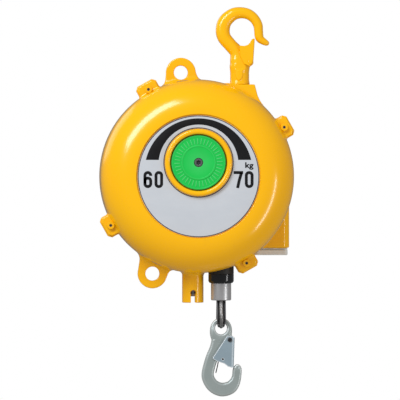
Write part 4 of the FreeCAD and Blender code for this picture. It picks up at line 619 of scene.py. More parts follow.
# ---- mesh helpers --------------------------------------------------------------------------------
def rounded_path(corners, steps=6, closed=True):
    """Points (u, v, extra) through (u, v, radius, extra) corners, each turned by an arc."""
    points = []
    count = len(corners)
    for i, (u, v, radius, *extra) in enumerate(corners):
        here = Vector((u, v))
        extra = extra[0] if extra else 0.0
        if radius <= 0.0 or (not closed and i in (0, count - 1)):
            points.append((u, v, extra))
            continue
        back = (Vector(corners[i - 1][:2]) - here).normalized()
        ahead = (Vector(corners[(i + 1) % count][:2]) - here).normalized()
        half = back.angle(ahead) / 2.0
        cut = radius / math.tan(half)
        centre = here + (back + ahead).normalized() * radius / math.sin(half)
        start = here + back * cut - centre
        sweep = start.angle_signed(here + ahead * cut - centre)
        count_here = max(2, int(steps * abs(sweep) / 1.5) + 1)
        for step in range(count_here + 1):
            turn = -sweep * step / count_here
            cos, sin = math.cos(turn), math.sin(turn)
            points.append((centre.x + start.x * cos - start.y * sin,
                           centre.y + start.x * sin + start.y * cos, extra))
    return points


def modifier_mesh(source, tree, inputs):
    """Plain mesh that a Geometry Nodes tree makes of a mesh."""
    holder = bpy.data.objects.new("holder", source)
    bpy.context.scene.collection.objects.link(holder)
    modifier = holder.modifiers.new("nodes", "NODES")
    modifier.node_group = tree
    for item in tree.interface.items_tree:
        if item.in_out == "INPUT" and item.name in inputs:
            modifier[item.identifier] = inputs[item.name]
    graph = bpy.context.evaluated_depsgraph_get()
    made = bpy.data.meshes.new_from_object(holder.evaluated_get(graph))
    holder.modifiers.remove(modifier)
    bpy.data.objects.remove(holder)
    return made


def tidy(mesh, sharp_degrees=32.0):
    """Doubles merged, faces turned outwards and smooth up to an angle."""
    form = bmesh.new()
    form.from_mesh(mesh)
    bmesh.ops.remove_doubles(form, verts=form.verts, dist=0.000004)
    bmesh.ops.dissolve_degenerate(form, edges=form.edges, dist=0.000002)
    bmesh.ops.recalc_face_normals(form, faces=form.faces)
    form.to_mesh(mesh)
    form.free()
    mesh.shade_smooth()
    mesh.set_sharp_from_angle(angle=math.radians(sharp_degrees))
    if "edge" not in mesh.attributes:
        mark_edges(mesh)
    return mesh


def mark_edges(mesh):
    """Stores 1 where faces turn outwards sharply, for finishes that wear there and for the painted
    highlight on plated edges.
    """
    form = bmesh.new()
    form.from_mesh(mesh)
    crest = np.zeros(len(form.verts), np.float32)
    for edge in form.edges:
        if len(edge.link_faces) == 2 and edge.is_convex:
            turn = edge.calc_face_angle(0.0) / max(edge.calc_length(), 0.0004) * 0.0006
            for vert in edge.verts:
                crest[vert.index] = max(crest[vert.index], min(turn * 1.5, 1.0))
    form.free()
    mesh.attributes.new("edge", "FLOAT", "POINT").data.foreach_set("value", crest)


def joined(meshes):
    """One mesh of several, with their custom shading and edge marks kept."""
    form = bmesh.new()
    for mesh in meshes:
        form.from_mesh(mesh)
    made = bpy.data.meshes.new("joined")
    form.to_mesh(made)
    form.free()
    return made


def piece(name, mesh, body, slot, replaced=()):
    """Finished object at the origin that rides on a body and stands for CAD nodes."""
    mesh.name = name
    made = bpy.data.objects.new(name, mesh)
    bpy.context.scene.collection.objects.link(made)
    mesh.materials.clear()
    mesh.materials.append(material_of(slot))
    mesh.validate(clean_customdata=False)
    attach(made, body)
    if replaced:
        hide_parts(*replaced)
    return made


# ---- Geometry Nodes trees ------------------------------------------------------------------------
def new_tree(name, inputs):
    """Tree with a geometry socket each way and the named inputs; gives its graph and inputs."""
    tree = bpy.data.node_groups.new(name, "GeometryNodeTree")
    tree.interface.new_socket("Geometry", in_out="INPUT", socket_type="NodeSocketGeometry")
    tree.interface.new_socket("Geometry", in_out="OUTPUT", socket_type="NodeSocketGeometry")
    for label, kind in inputs:
        tree.interface.new_socket(label, in_out="INPUT", socket_type="NodeSocket" + kind)
    graph = Graph(tree)
    entry = tree.nodes.new("NodeGroupInput")
    return graph, {socket.name: Value(graph, socket) for socket in entry.outputs if socket.name}


def close_tree(graph, geometry, material):
    """Ends a tree: real geometry with the material on it."""
    real = graph.node("GeometryNodeRealizeInstances", {}, [geometry])
    dressed = graph.node("GeometryNodeSetMaterial", {}, {"Geometry": real, "Material": material})
    graph.node("NodeGroupOutput", {}, [dressed])
    return graph.tree


def turned_tree():
    """Revolves a line of (radius, height) points, tips and places it, then lowers each ring by
    the "drop" that its point carries, so that one part can run round two axes."""
    g, given = new_tree("Turned Part", [
        ("Segments", "Int"), ("Tip", "Vector"), ("Centre", "Vector"), ("Material", "Material")])
    line = g.node("GeometryNodeMeshToCurve", {}, [given["Geometry"]])
    line = g.node("GeometryNodeSetPosition", {}, {"Geometry": line, "Offset": (-1.0, 0.0, 0.0)})
    ring = g.node("GeometryNodeCurvePrimitiveCircle", {}, {
        "Resolution": given["Segments"], "Radius": 1.0})
    body = g.node("GeometryNodeCurveToMesh", {}, [ring, line])
    placed = g.node("GeometryNodeTransform", {}, {
        "Geometry": body, "Translation": given["Centre"], "Rotation": given["Tip"]})
    drop = g.node("GeometryNodeInputNamedAttribute", {"data_type": "FLOAT"}, {"Name": "drop"})
    shift = g.node("ShaderNodeCombineXYZ", {}, [0.0, 0.0, 0.0 - drop])
    placed = g.node("GeometryNodeSetPosition", {}, {"Geometry": placed, "Offset": shift})
    return close_tree(g, placed, given["Material"])


def circle_pattern_tree():
    """Copies a part round a circle in the XZ plane, each turned to face outwards."""
    g, given = new_tree("Circle Pattern", [
        ("Count", "Int"), ("Circle Radius", "Float"), ("First Angle", "Float"),
        ("Centre", "Vector"), ("Material", "Material")])
    index = g.node("GeometryNodeInputIndex")
    turn = given["First Angle"] + index * (2.0 * math.pi) / given["Count"]
    spot = g.node("ShaderNodeCombineXYZ", {}, [
        turn.cosine() * given["Circle Radius"], 0.0, turn.sine() * given["Circle Radius"]])
    spot = g.node("ShaderNodeVectorMath", {"operation": "ADD"}, [spot, given["Centre"]])
    points = g.node("GeometryNodePoints", {}, {"Count": given["Count"], "Position": spot})
    facing = g.node("ShaderNodeCombineXYZ", {}, [0.0, 0.0 - turn, 0.0])
    facing = g.node("FunctionNodeEulerToRotation", {}, [facing])
    copies = g.node("GeometryNodeInstanceOnPoints", {}, {
        "Points": points, "Instance": given["Geometry"], "Rotation": facing})
    return close_tree(g, copies, given["Material"])


def laid_rope_tree():
    """Twists strands round a path: each copy of the path is shifted by a turning offset."""
    g, given = new_tree("Laid Rope", [
        ("Strands", "Int"), ("Rope Radius", "Float"), ("Strand Radius", "Float"),
        ("Turns Per Metre", "Float"), ("Step", "Float"), ("Material", "Material")])
    path = g.node("GeometryNodeMeshToCurve", {}, [given["Geometry"]])
    path = g.node("GeometryNodeResampleCurve", {"mode": "LENGTH"}, {
        "Curve": path, "Length": given["Step"]})
    copies = g.node("GeometryNodeDuplicateElements", {"domain": "SPLINE"}, {
        "Geometry": path, "Amount": given["Strands"]})
    number = Value(g, copies.socket.node.outputs["Duplicate Index"])
    along = g.node("GeometryNodeSplineParameter", output="Length")
    turn = (number / given["Strands"] + along * given["Turns Per Metre"]) * (2.0 * math.pi)
    reach = given["Rope Radius"] - given["Strand Radius"]
    normal = g.node("GeometryNodeInputNormal")
    tangent = g.node("GeometryNodeInputTangent")
    side = g.node("ShaderNodeVectorMath", {"operation": "CROSS_PRODUCT"}, [tangent, normal])
    first = g.node("ShaderNodeVectorMath", {"operation": "SCALE"}, {
        0: normal, 3: turn.cosine() * reach})
    second = g.node("ShaderNodeVectorMath", {"operation": "SCALE"}, {
        0: side, 3: turn.sine() * reach})
    shift = g.node("ShaderNodeVectorMath", {"operation": "ADD"}, [first, second])
    strands = g.node("GeometryNodeSetPosition", {}, {"Geometry": copies, "Offset": shift})
    section = g.node("GeometryNodeCurvePrimitiveCircle", {}, {
        "Resolution": 10, "Radius": given["Strand Radius"]})
    body = g.node("GeometryNodeCurveToMesh", {}, {
        "Curve": strands, "Profile Curve": section, "Fill Caps": True})
    return close_tree(g, body, given["Material"])


def coil_tree():
    """Coil spring of round wire, upright at a place."""
    g, given = new_tree("Coil Spring", [
        ("Turns", "Float"), ("Coil Radius", "Float"), ("Height", "Float"),
        ("Wire Radius", "Float"), ("Centre", "Vector"), ("Material", "Material")])
    path = g.node("GeometryNodeCurveSpiral", {}, {
        "Resolution": 40, "Rotations": given["Turns"], "Start Radius": given["Coil Radius"],
        "End Radius": given["Coil Radius"], "Height": given["Height"]})
    section = g.node("GeometryNodeCurvePrimitiveCircle", {}, {
        "Resolution": 12, "Radius": given["Wire Radius"]})
    body = g.node("GeometryNodeCurveToMesh", {}, {
        "Curve": path, "Profile Curve": section, "Fill Caps": True})
    placed = g.node("GeometryNodeTransform", {}, {
        "Geometry": body, "Translation": given["Centre"]})
    return close_tree(g, placed, given["Material"])


TREES = {}


def tree_of(build):
    """Tree that a function builds, made once."""
    if build not in TREES:
        TREES[build] = build()
    return TREES[build]


def line_mesh(points, closed=False):
    """Line through (u, v, drop) points given in millimetres."""
    mesh = bpy.data.meshes.new("line")
    links = [(i, i + 1) for i in range(len(points) - 1)]
    if closed:
        links.append((len(points) - 1, 0))
    mesh.from_pydata([(u * MM, -v * MM, 0.0) for u, v, _ in points], links, [])
    drops = mesh.attributes.new("drop", "FLOAT", "POINT")
    drops.data.foreach_set("value", [drop * MM for _, _, drop in points])
    return mesh


def at(x, y, z):
    """A drawn place in the row frame, in metres."""
    return ORIGIN + Vector((x, y, z)) * MM


def turned(corners, slot, across=(0.0, 0.0), upright=False, segments=96, steps=6, closed=True):
    """Turned mesh from (radius, height, rounding, drop) corners of its half section. Its axis
    runs along Y through (x, z), or upright through (x, y)."""
    line = line_mesh(rounded_path(corners, steps, closed), closed)
    centre = at(across[0], across[1], 0.0) if upright else at(across[0], 0.0, across[1])
    return tidy(modifier_mesh(line, tree_of(turned_tree), {
        "Segments": segments, "Centre": tuple(centre), "Material": material_of(slot),
        "Tip": (0.0, 0.0, 0.0) if upright else (-math.pi / 2.0, 0.0, 0.0)}))


def round_bar(radius, start, end, rounding, slot, across, upright=False, segments=48):
    """Plain round bar with both ends closed."""
    return turned([(0.0, start, 0.0), (radius, start, rounding), (radius, end, rounding),
                   (0.0, end, 0.0)], slot, across, upright, segments, closed=False)


def spiked(rows, flats, across, upright=False, sides=72):
    """Closed ring mesh from (radius, height, hexagonal) rows; a hexagonal row is cut to the
    width across flats where its circle is wider."""
    points = []
    for radius, height, hexagonal in rows:
        for side in range(sides):
            turn = 2.0 * math.pi * side / sides
            flat = flats / 2.0 / math.cos((turn + math.pi / 6.0) % (math.pi / 3.0) - math.pi / 6.0)
            reach = min(radius, flat) if hexagonal else radius
            u, v = across[0] + reach * math.cos(turn), across[1] + reach * math.sin(turn)
            points.append(at(u, v, height) if upright else at(u, height, v))
    faces = []
    for row in range(len(rows)):
        below, above = row * sides, (row + 1) % len(rows) * sides
        for side in range(sides):
            after = (side + 1) % sides
            faces.append((below + side, below + after, above + after, above + side))
    mesh = bpy.data.meshes.new("spiked")
    mesh.from_pydata(points, [], faces)
    return tidy(mesh, 25.0)


def sheet(outline, start, end, bevel):
    """Flat sheet along Y with an (x, z) outline whose edges are rounded."""
    form = bmesh.new()
    base = [form.verts.new(at(u, start, v)) for u, v in outline]
    face = form.faces.new(base)
    grown = bmesh.ops.extrude_face_region(form, geom=[face])
    top = [item for item in grown["geom"] if isinstance(item, bmesh.types.BMVert)]
    bmesh.ops.translate(form, verts=top, vec=(0.0, (end - start) * MM, 0.0))
    bmesh.ops.recalc_face_normals(form, faces=form.faces)
    rims = [edge for edge in form.edges if len(edge.link_faces) == 2
            and abs(edge.verts[0].co.y - edge.verts[1].co.y) < 1e-7]
    bmesh.ops.bevel(form, geom=rims, offset=bevel * MM, segments=3, profile=0.5, affect="EDGES")
    mesh = bpy.data.meshes.new("sheet")
    form.to_mesh(mesh)
    form.free()
    return tidy(mesh)


def without(mesh, tools):
    """The mesh with other closed meshes cut out of it."""
    holder = bpy.data.objects.new("holder", mesh)
    cutter = bpy.data.objects.new("cutter", joined(tools))
    for each in (holder, cutter):
        bpy.context.scene.collection.objects.link(each)
    cut = holder.modifiers.new("cut", "BOOLEAN")
    cut.operation = "DIFFERENCE"
    cut.solver = "EXACT"
    cut.object = cutter
    graph = bpy.context.evaluated_depsgraph_get()
    made = bpy.data.meshes.new_from_object(holder.evaluated_get(graph))
    holder.modifiers.remove(cut)
    for each in (holder, cutter):
        bpy.data.objects.remove(each)
    return tidy(made)


# ---- sizes and looks that the panel offers -------------------------------------------------------
def length(name, millimetres, words):
    return bpy.props.FloatProperty(name=name, description=words, default=millimetres * MM,
                                   min=0.0001, soft_max=0.5, unit="LENGTH")


def paint(name, colour, words):
    return bpy.props.FloatVectorProperty(name=name, description=words, default=colour, size=3,
                                         min=0.0, max=1.0, subtype="COLOR")


class BalancerSizes(bpy.types.PropertyGroup):
    body_radius: length("Body Radius", 120.0, "Barrel of the two housings")
    dome_radius: length("Dome Radius", 43.0, "Rounding from the barrel to either face")
    wall: length("Wall", 6.0, "Thickness of the two housings")
    plate_radius: length("Plate Radius", 75.0, "Name plate")
    plate_bore: length("Plate Bore", 42.0, "Hole of the name plate round the hub")
    lip_radius: length("Lip Radius", 41.5, "Raised lip round the hub")
    lip_bore: length("Lip Bore", 35.0, "Opening that the hub cap closes")
    fillet: length("Casting Fillet", 7.0, "Hollow rounding where a lug or block joins the barrel")
    strand_radius: length("Strand Radius", 0.85, "One strand of the wire rope")


class BalancerLooks(bpy.types.PropertyGroup):
    enamel: paint("Enamel", (1.0, 0.53, 0.0), "Paint of the housings and the upper hook")
    enamel_deep: paint("Deep Enamel", (1.0, 0.485, 0.0), "Paint where it lies thicker")


def size(name):
    """A panel size in millimetres."""
    return getattr(bpy.context.scene.balancer_sizes, name) / MM


# ---- housings ------------------------------------------------------------------------------------
ROPE_Y = -10.0                  # plane of the rope and of both hooks
PARTING_Y = -24.0               # where the housings meet
FRONT_Y = LIP_Y + 3.5           # crest of the front dome
FLOOR_Y = LIP_Y + 6.5           # the name plate lies on it
REAR_Y = BOSS_Y - 3.0           # crest of the rear dome
EARS = [math.radians(29.5 + 90.0 * number) for number in range(4)]
EAR_HALF = 12.5                 # half the width of an ear
EAR_OUT = 11.4                  # how far it stands out of the barrel
EAR_BOLT_OUT = 3.4              # its bolt's axis outside the barrel
LUG_Y, LUG_HALF = 4.0, 5.0      # middle and half thickness of the safety lugs
LUG_BORE = 8.7                  # radius of a lug's hole
LOCK_BORE = 8.6                 # radius of the lock tube's bore
NECK_R = 11.7                   # radius of the upper hook's shank
CHEEK_R, CHEEK_HALF = 4.6, 4.5  # radius and half thickness of the ear its latch turns on
LOWER_PIN_BORE = 2.35           # radius of the lower latch's rivet hole
LATCH_HALF = 8.0                # half the depth of the lower latch
LATCH_SPRING = (LOWER_PIN.x - 8.7, LOWER_PIN.z - 24.2)  # (x, z) of its spring's pin
PRINT_OUT, PRINT_IN = 0.03, 0.1  # the print stands out of the plate and reaches into it


def barrel_foot():
    """Height of the barrel's lowest line."""
    return -DROP - size("body_radius")


def barrel(p):
    """Distance to the two housings' common outer surface."""
    ring = np.hypot(p[:, X], p[:, Z] + DROP) - size("body_radius")
    ends = np.abs(p[:, Y] - (FRONT_Y + REAR_Y) / 2.0) - (REAR_Y - FRONT_Y) / 2.0
    return corner_join(ring, ends, size("dome_radius"))


def grown(p, form, fillet):
    """A cast feature that grows out of the barrel: its foot lies just under the barrel's
    surface, and what is deep inside the wall is left out."""
    shell = barrel(p)
    merged = blended(form, shell + 0.04, fillet)
    return np.maximum(np.maximum(merged, form - fillet - 1.5), -shell - 3.0)


def ear_form(p, start, end, spread):
    """The four chamfered pads that clamp the housings together."""
    form = np.full(len(p), 1e9)
    for turn in EARS:
        out = p[:, X] * math.cos(turn) + (p[:, Z] + DROP) * math.sin(turn)
        along = np.abs((p[:, Z] + DROP) * math.cos(turn) - p[:, X] * math.sin(turn))
        half = EAR_HALF + spread
        reach = size("body_radius") + EAR_OUT + spread
        side = np.maximum(along - half, (along - half + out - reach + 4.0) * math.sqrt(0.5))
        side = np.maximum(side, np.maximum(out - reach, 100.0 - out))
        thick = np.abs(p[:, Y] - (start + end) / 2.0) - (end - start) / 2.0
        form = np.minimum(form, corner_join(side, thick, 1.2))
    return form


def ear_places():
    """Places of the ear bolts, as (x, z)."""
    reach = size("body_radius") + EAR_BOLT_OUT
    return [(reach * math.cos(turn), reach * math.sin(turn) - DROP) for turn in EARS]


def ears(start, end, spread):
    """Mesh of one housing's four ears, their bolt holes left open."""
    meshes = []
    for x, z in ear_places():
        def form(p, x=x, z=z):
            pad = grown(p, ear_form(p, start, end, spread), 3.0)
            pad = np.maximum(pad, start - p[:, Y] if end > PARTING_Y else p[:, Y] - end)
            return carved(pad, rod(p, Y, (x, z), 3.2, start - 4.0, end + 4.0))
        room = 21.0
        meshes.append(skinned(form, (x - room, start - 5.0, z - room),
                              (x + room, end + 5.0, z + room), 0.9))
    return joined(meshes)


def front_shell():
    """Dome, plate floor, hub lip and cup in one turned skin; the lip runs round the hub."""
    body, dome, wall = size("body_radius"), size("dome_radius"), size("wall")
    rim, lip, bore = size("plate_radius") + 1.6, size("lip_radius"), size("lip_bore")
    inside = FLOOR_Y + wall
    return turned([
        (body, PARTING_Y, 0.5, DROP), (body, FRONT_Y, dome, DROP), (rim, FRONT_Y, 0.6, DROP),
        (rim, FLOOR_Y, 0.3, DROP), (lip + 0.02, FLOOR_Y, 0.4), (lip, LIP_Y, 3.1), (bore, LIP_Y, 3.1),
        (bore, FLOOR_Y + 6.0, 0.3), (10.2, FLOOR_Y + 6.0, 0.0), (10.2, FLOOR_Y + 12.0, 0.0),
        (lip, FLOOR_Y + 12.0, 1.5), (lip, inside, 0.5), (rim, inside, 0.0, DROP),
        (body - wall, inside, dome - wall - 2.0, DROP), (body - wall, PARTING_Y, 0.3, DROP),
    ], "housing_paint", segments=256, steps=20)


def rear_shell():
    """Barrel and rear dome, with the holes of the guide, the lock and the ear nuts cut in."""
    body, dome, wall = size("body_radius"), size("dome_radius"), size("wall")
    shell = turned([
        (body, PARTING_Y + 0.05, 0.5), (body, REAR_Y, dome), (9.0, REAR_Y, 0.0),
        (9.0, REAR_Y - wall, 0.0), (body - wall, REAR_Y - wall, dome - wall),
        (body - wall, PARTING_Y + 0.05, 0.3),
    ], "housing_paint", (0.0, -DROP), segments=256, steps=20)
    foot = barrel_foot()
    holes = [round_bar(9.2, foot - 9.0, foot + 22.0, 0.0, "housing_paint", ROPE[:2], True, 64),
             round_bar(LOCK_BORE, foot - 9.0, foot + 15.0, 0.0, "housing_paint", LOCK[:2], True, 64)]
    holes += [round_bar(6.3, PARTING_Y + 9.0, PARTING_Y + 19.0, 0.0, "housing_paint", place)
              for place in ear_places()]
    return without(shell, holes)


def suspension_block():
    """Block on the shoulder that the upper hook turns in; its right side leans outwards."""
    axis = halfway("hook_nut", X)
    top = size("body_radius") - DROP - 6.0
    outline = [(axis - 16.3, top - 27.0), (axis - 16.3, top), (axis + 18.2, top),
               (axis + 25.2, top - 27.0)]

    def form(p):
        solid = slab(p, outline, ROPE_Y - 13.5, ROPE_Y + 13.5, 1.6, 1.8)
        return np.maximum(grown(p, solid, size("fillet")), PARTING_Y + 0.05 - p[:, Y])
    return skinned(form, (axis - 30.0, -26.0, top - 55.0), (axis + 40.0, 16.0, top), 0.8)


def lug(degrees, out, radius, lean, spread):
    """Flat lug with a round end that stands out of the barrel, for a shackle."""
    body = size("body_radius")
    turn, root_turn = math.radians(degrees), math.radians(degrees + lean)
    x, z = (body + out) * math.cos(turn), (body + out) * math.sin(turn) - DROP
    root = body - 19.0
    foot = Vector((root * math.cos(root_turn) - x, root * math.sin(root_turn) - DROP - z))
    way = foot.normalized()
    side = Vector((-way.y, way.x))
    here = Vector((x, z))
    outline = [here + side * radius, here + foot + side * (radius + spread),
               here + foot - side * (radius + spread), here - side * radius]
    outline = [tuple(point) for point in outline]

    def form(p):
        flat = np.minimum(outline_distance(p[:, X], p[:, Z], outline),
                          np.hypot(p[:, X] - x, p[:, Z] - z) - radius)
        solid = corner_join(flat, np.abs(p[:, Y] - LUG_Y) - LUG_HALF, 1.6)
        hole = rod(p, Y, (x, z), LUG_BORE, LUG_Y - 13.0, LUG_Y + 13.0)
        return carved(grown(p, solid, size("fillet")), hole, 1.2)
    room = radius + 20.0
    return skinned(form, (x - room, LUG_Y - 18.0, z - room),
                   (x + room, LUG_Y + 18.0, z + room), 0.8)


def lock_tube():
    """Tube under the barrel with the slot and the round window of the lock's cross pin."""
    foot = barrel_foot()
    window = halfway("lock_cross_pin", Z)

    def form(p):
        solid = grown(p, rod(p, Z, LOCK[:2], 13.3, foot - 37.0, foot + 6.0, 1.0), 5.0)
        solid = carved(solid, rod(p, Z, LOCK[:2], LOCK_BORE, foot - 40.0, foot + 20.0), 0.5)
        slot = np.maximum(np.abs(p[:, X] - LOCK.x) - 2.8, p[:, Z] - window)
        slot = np.minimum(slot, np.hypot(p[:, X] - LOCK.x, p[:, Z] - window) - 3.4)
        return carved(solid, slot, 0.5)
    return skinned(form, (LOCK.x - 22.0, LOCK.y - 22.0, foot - 37.0),
                   (LOCK.x + 22.0, LOCK.y + 22.0, foot + 10.0), 0.7)


def guide_boss():
    """Low collar on the barrel round the rope guide."""
    foot = barrel_foot()

    def form(p):
        solid = grown(p, rod(p, Z, ROPE[:2], 13.5, foot + 2.0, foot + 6.0, 0.5), 3.0)
        solid = np.maximum(solid, PARTING_Y + 0.05 - p[:, Y])
        return carved(solid, rod(p, Z, ROPE[:2], 11.65, foot - 3.0, foot + 20.0), 0.3)
    return skinned(form, (ROPE.x - 20.0, ROPE.y - 20.0, foot - 2.0),
                   (ROPE.x + 20.0, ROPE.y + 20.0, foot + 9.0), 0.7)


def worm_box():
    """Box on the right side that holds the worm of the load setting."""
    right, deep = WORM.x + 23.0, (WORM.y - 17.0, WORM.y + 18.0)
    floor, top = span("worm_cap", Z)[1] + 0.1, 47.0

    def form(p):
        across = p[:, X] - right + np.clip((p[:, Z] - 2.0) * 0.2, 0.0, 9.0)
        along = np.abs(p[:, Y] - (deep[0] + deep[1]) / 2.0) - (deep[1] - deep[0]) / 2.0
        plan = corner_join(across, along, 1.5)
        plan = corner_join(plan, (across + along + 6.0) * math.sqrt(0.5), 1.6)
        plan = np.maximum(plan, WORM.x - 22.0 - p[:, X])
        tall = np.abs(p[:, Z] - (floor + top) / 2.0) - (top - floor) / 2.0
        return grown(p, corner_join(plan, tall, 1.8), 6.0)
    return skinned(form, (WORM.x - 34.0, deep[0] - 14.0, floor - 12.0),
                   (right + 2.0, deep[1] + 12.0, top + 14.0), 1.0)


def rear_boss():
    """Round boss behind the main shaft's nut."""
    def form(p):
        solid = grown(p, rod(p, Y, (0.0, 0.0), 26.0, REAR_Y - 4.0, BOSS_Y, 1.2), 4.0)
        return carved(solid, rod(p, Y, (0.0, 0.0), 8.2, REAR_Y - 20.0, BOSS_Y + 5.0), 0.5)
    return skinned(form, (-36.0, REAR_Y - 6.0, -36.0), (36.0, BOSS_Y, 36.0), 0.9)


# ---- name plate, hub cap and fasteners -----------------------------------------------------------
def plate_face():
    """Front face of the name plate."""
    return span("name_plate", Y)[0]


def name_plate():
    """Round plate; its rim runs round the barrel's centre and its hole round the hub."""
    face = plate_face()
    outer, bore = size("plate_radius"), size("plate_bore")
    return turned([
        (bore, face, 0.2), (outer, face, 0.25, DROP), (outer, face + 1.0, 0.1, DROP),
        (bore, face + 1.0, 0.1)], "plate_print", segments=256)


def ring_print(radius, width, drop):
    """Thin printed ring near an edge of the plate."""
    face = plate_face()
    front, back = face - PRINT_OUT, face + PRINT_IN
    return turned([(radius, front, 0.0, drop), (radius + width, front, 0.0, drop),
                   (radius + width, back, 0.0, drop), (radius, back, 0.0, drop)],
                  "scale_ink", segments=256)


def scale_crescent():
    """Black band between two circles about centres below the hub, cut off level."""
    inner, inner_drop, outer, outer_drop, foot = 49.2, 2.6, 66.7, 12.3, 3.2
    start = math.asin((foot + inner_drop) / inner)
    inside = [(inner * math.cos(turn), inner * math.sin(turn) - inner_drop)
              for turn in np.linspace(start, math.pi - start, 60)]
    start = math.asin((foot + outer_drop) / outer)
    outside = [(outer * math.cos(turn), outer * math.sin(turn) - outer_drop)
               for turn in np.linspace(math.pi - start, start, 72)]
    face = plate_face()
    return sheet(inside + outside, face - PRINT_OUT, face + PRINT_IN, 0.01)


def lettering(words, left, right, foot, top, weight):
    """Flat raised print that fills a box of (x, z) on the plate."""
    curve = bpy.data.curves.new("words", "FONT")
    curve.body = words
    curve.offset = weight
    curve.extrude = 0.5
    curve.space_character = 1.06
    curve.resolution_u = 8
    holder = bpy.data.objects.new("words", curve)
    bpy.context.scene.collection.objects.link(holder)
    graph = bpy.context.evaluated_depsgraph_get()
    mesh = bpy.data.meshes.new_from_object(holder.evaluated_get(graph))
    bpy.data.objects.remove(holder)
    points = np.empty(len(mesh.vertices) * 3)
    mesh.vertices.foreach_get("co", points)
    points = points.reshape(-1, 3)
    least, most = points.min(0), points.max(0)
    part = (points - least) / (most - least)
    face = plate_face()
    placed = np.stack([left + part[:, 0] * (right - left),
                       face + PRINT_IN - part[:, 2] * (PRINT_IN + PRINT_OUT),
                       foot + part[:, 1] * (top - foot)], 1)
    mesh.vertices.foreach_set("co", (placed * MM + np.array(ORIGIN)).ravel())
    mesh.update()
    return tidy(mesh)


def stroke(path, weight, closed):
    """Band of print that follows a line of (x, z) points on the plate."""
    line = [Vector(point[:2]) for point in path]
    count = len(line)
    face = plate_face()
    corners = []
    for i, here in enumerate(line):
        back = line[i - 1] if closed or i else here
        ahead = line[(i + 1) % count] if closed or i < count - 1 else here
        way = (ahead - back).normalized() * weight / 2.0
        for u, v in ((here.x - way.y, here.y + way.x), (here.x + way.y, here.y - way.x)):
            corners += [at(u, face - PRINT_OUT, v), at(u, face + PRINT_IN, v)]
    faces = []
    for i in range(count if closed else count - 1):
        a, b = 4 * i, 4 * ((i + 1) % count)
        faces += [(a, b, b + 2, a + 2), (a + 2, b + 2, b + 3, a + 3), (a + 3, b + 3, b + 1, a + 1),
                  (a + 1, b + 1, b, a)]
    if not closed:
        faces += [(0, 2, 3, 1), (4 * count - 4, 4 * count - 3, 4 * count - 1, 4 * count - 2)]
    mesh = bpy.data.meshes.new("stroke")
    mesh.from_pydata(corners, [], faces)
    return tidy(mesh)


def numeral(sign, left, right, foot, top, weight):
    """A 0, 6 or 7 in even strokes that fills a box of (x, z) on the plate."""
    half = weight / 2.0
    left, right, foot, top = left + half, right - half, foot + half, top - half
    round_end = (right - left) / 2.0 - 0.05

    def oval(rise):
        ring = [(u, v, round_end) for u, v in ((left, foot), (right, foot), (right, rise), (left, rise))]
        return stroke(rounded_path(ring, 12), weight, True)
    if sign == "0":
        return [oval(top)]
    if sign == "6":
        stem = [(left, foot + round_end, 0.0), (left, top, round_end), (right, top, round_end),
                (right, top - round_end - 0.6, 0.0)]
        return [oval(foot + (top - foot) * 0.60), stroke(rounded_path(stem, 12, False), weight, False)]
    bend = left + (right - left) * 0.42
    head = [(right + half, top, 0.0), (left - half, top, 0.0)]
    leg = [(right - 0.2, top, 0.0), (bend + 1.6, foot + (top - foot) * 0.42, 12.0),
           (bend - 0.3, foot - half, 0.0)]
    return [stroke(head, weight, False), stroke(rounded_path(leg, 8, False), weight, False)]


def hub_cap():
    """Snap-in cap: ringed face with a raised outer band, skirt and sleeve for its screw."""
    face, foot = LIP_Y + 3.5, FLOOR_Y + 5.9
    return turned([
        (5.6, face, 0.5), (19.2, face, 0.3), (19.7, face - 0.5, 0.3), (21.0, face - 0.5, 0.3),
        (21.6, face + 0.3, 0.3), (31.4, face + 0.3, 0.3), (32.0, face - 0.2, 0.4),
        (33.6, face + 0.2, 1.0), (33.6, foot, 0.4), (31.1, foot, 0.4), (31.1, face + 3.3, 0.6),
        (7.6, face + 3.3, 0.6), (7.6, foot, 0.3), (3.2, foot, 0.0), (3.2, foot - 2.0, 0.0),
        (5.6, foot - 2.0, 0.2)], "cap_plastic", segments=192)


def cap_rib():
    """One radial grip rib, drawn round the origin with its length along X."""
    half, across, rise = 3.6 * MM, 0.55 * MM, 0.5 * MM
    form = bmesh.new()
    bmesh.ops.create_cube(form, size=2.0)
    for vert in form.verts:
        vert.co = Vector((vert.co.x * half, vert.co.y * rise, vert.co.z * across))
    bmesh.ops.bevel(form, geom=form.edges, offset=0.25 * MM, segments=2, profile=0.5, affect="EDGES")
    mesh = bpy.data.meshes.new("rib")
    form.to_mesh(mesh)
    form.free()
    return tidy(mesh)


def patterned(mesh, count, radius, first, centre, slot):
    """Copies of a mesh round a circle."""
    return tidy(modifier_mesh(mesh, tree_of(circle_pattern_tree), {
        "Count": count, "Circle Radius": radius * MM, "First Angle": first,
        "Centre": tuple(centre), "Material": material_of(slot)}))


def socket_screw(head_r, head_low, head_h, shank_r, tail, flats, depth):
    """Round-headed screw along Y with a hexagon socket, its head towards the front."""
    return spiked([
        (head_r - 0.5, head_low, False), (head_r, head_low + 0.5, False),
        (head_r, head_low + head_h, False), (shank_r, head_low + head_h, False),
        (shank_r, tail - 0.6, False), (shank_r - 0.6, tail, False), (0.01, tail, False),
        (0.01, head_low + depth, False), (flats, head_low + depth, True),
        (flats, head_low + 0.3, True), (flats / 2.0 * 1.22, head_low, False)], flats, (0.0, 0.0))


def on_ears(mesh, slot):
    """Copies of a fastener, drawn on the drum's axis, on the four ears."""
    for vert in mesh.vertices:
        vert.co -= ORIGIN
    radius = size("body_radius") + EAR_BOLT_OUT
    return patterned(mesh, len(EARS), radius, EARS[0], at(0.0, 0.0, -DROP), slot)


def ear_bolts():
    """Painted socket screws."""
    low_y, high_y = span("ear_bolts", Y)
    return on_ears(socket_screw(4.75, low_y, 4.0, 3.0, high_y, 3.4, 2.4), "housing_paint")


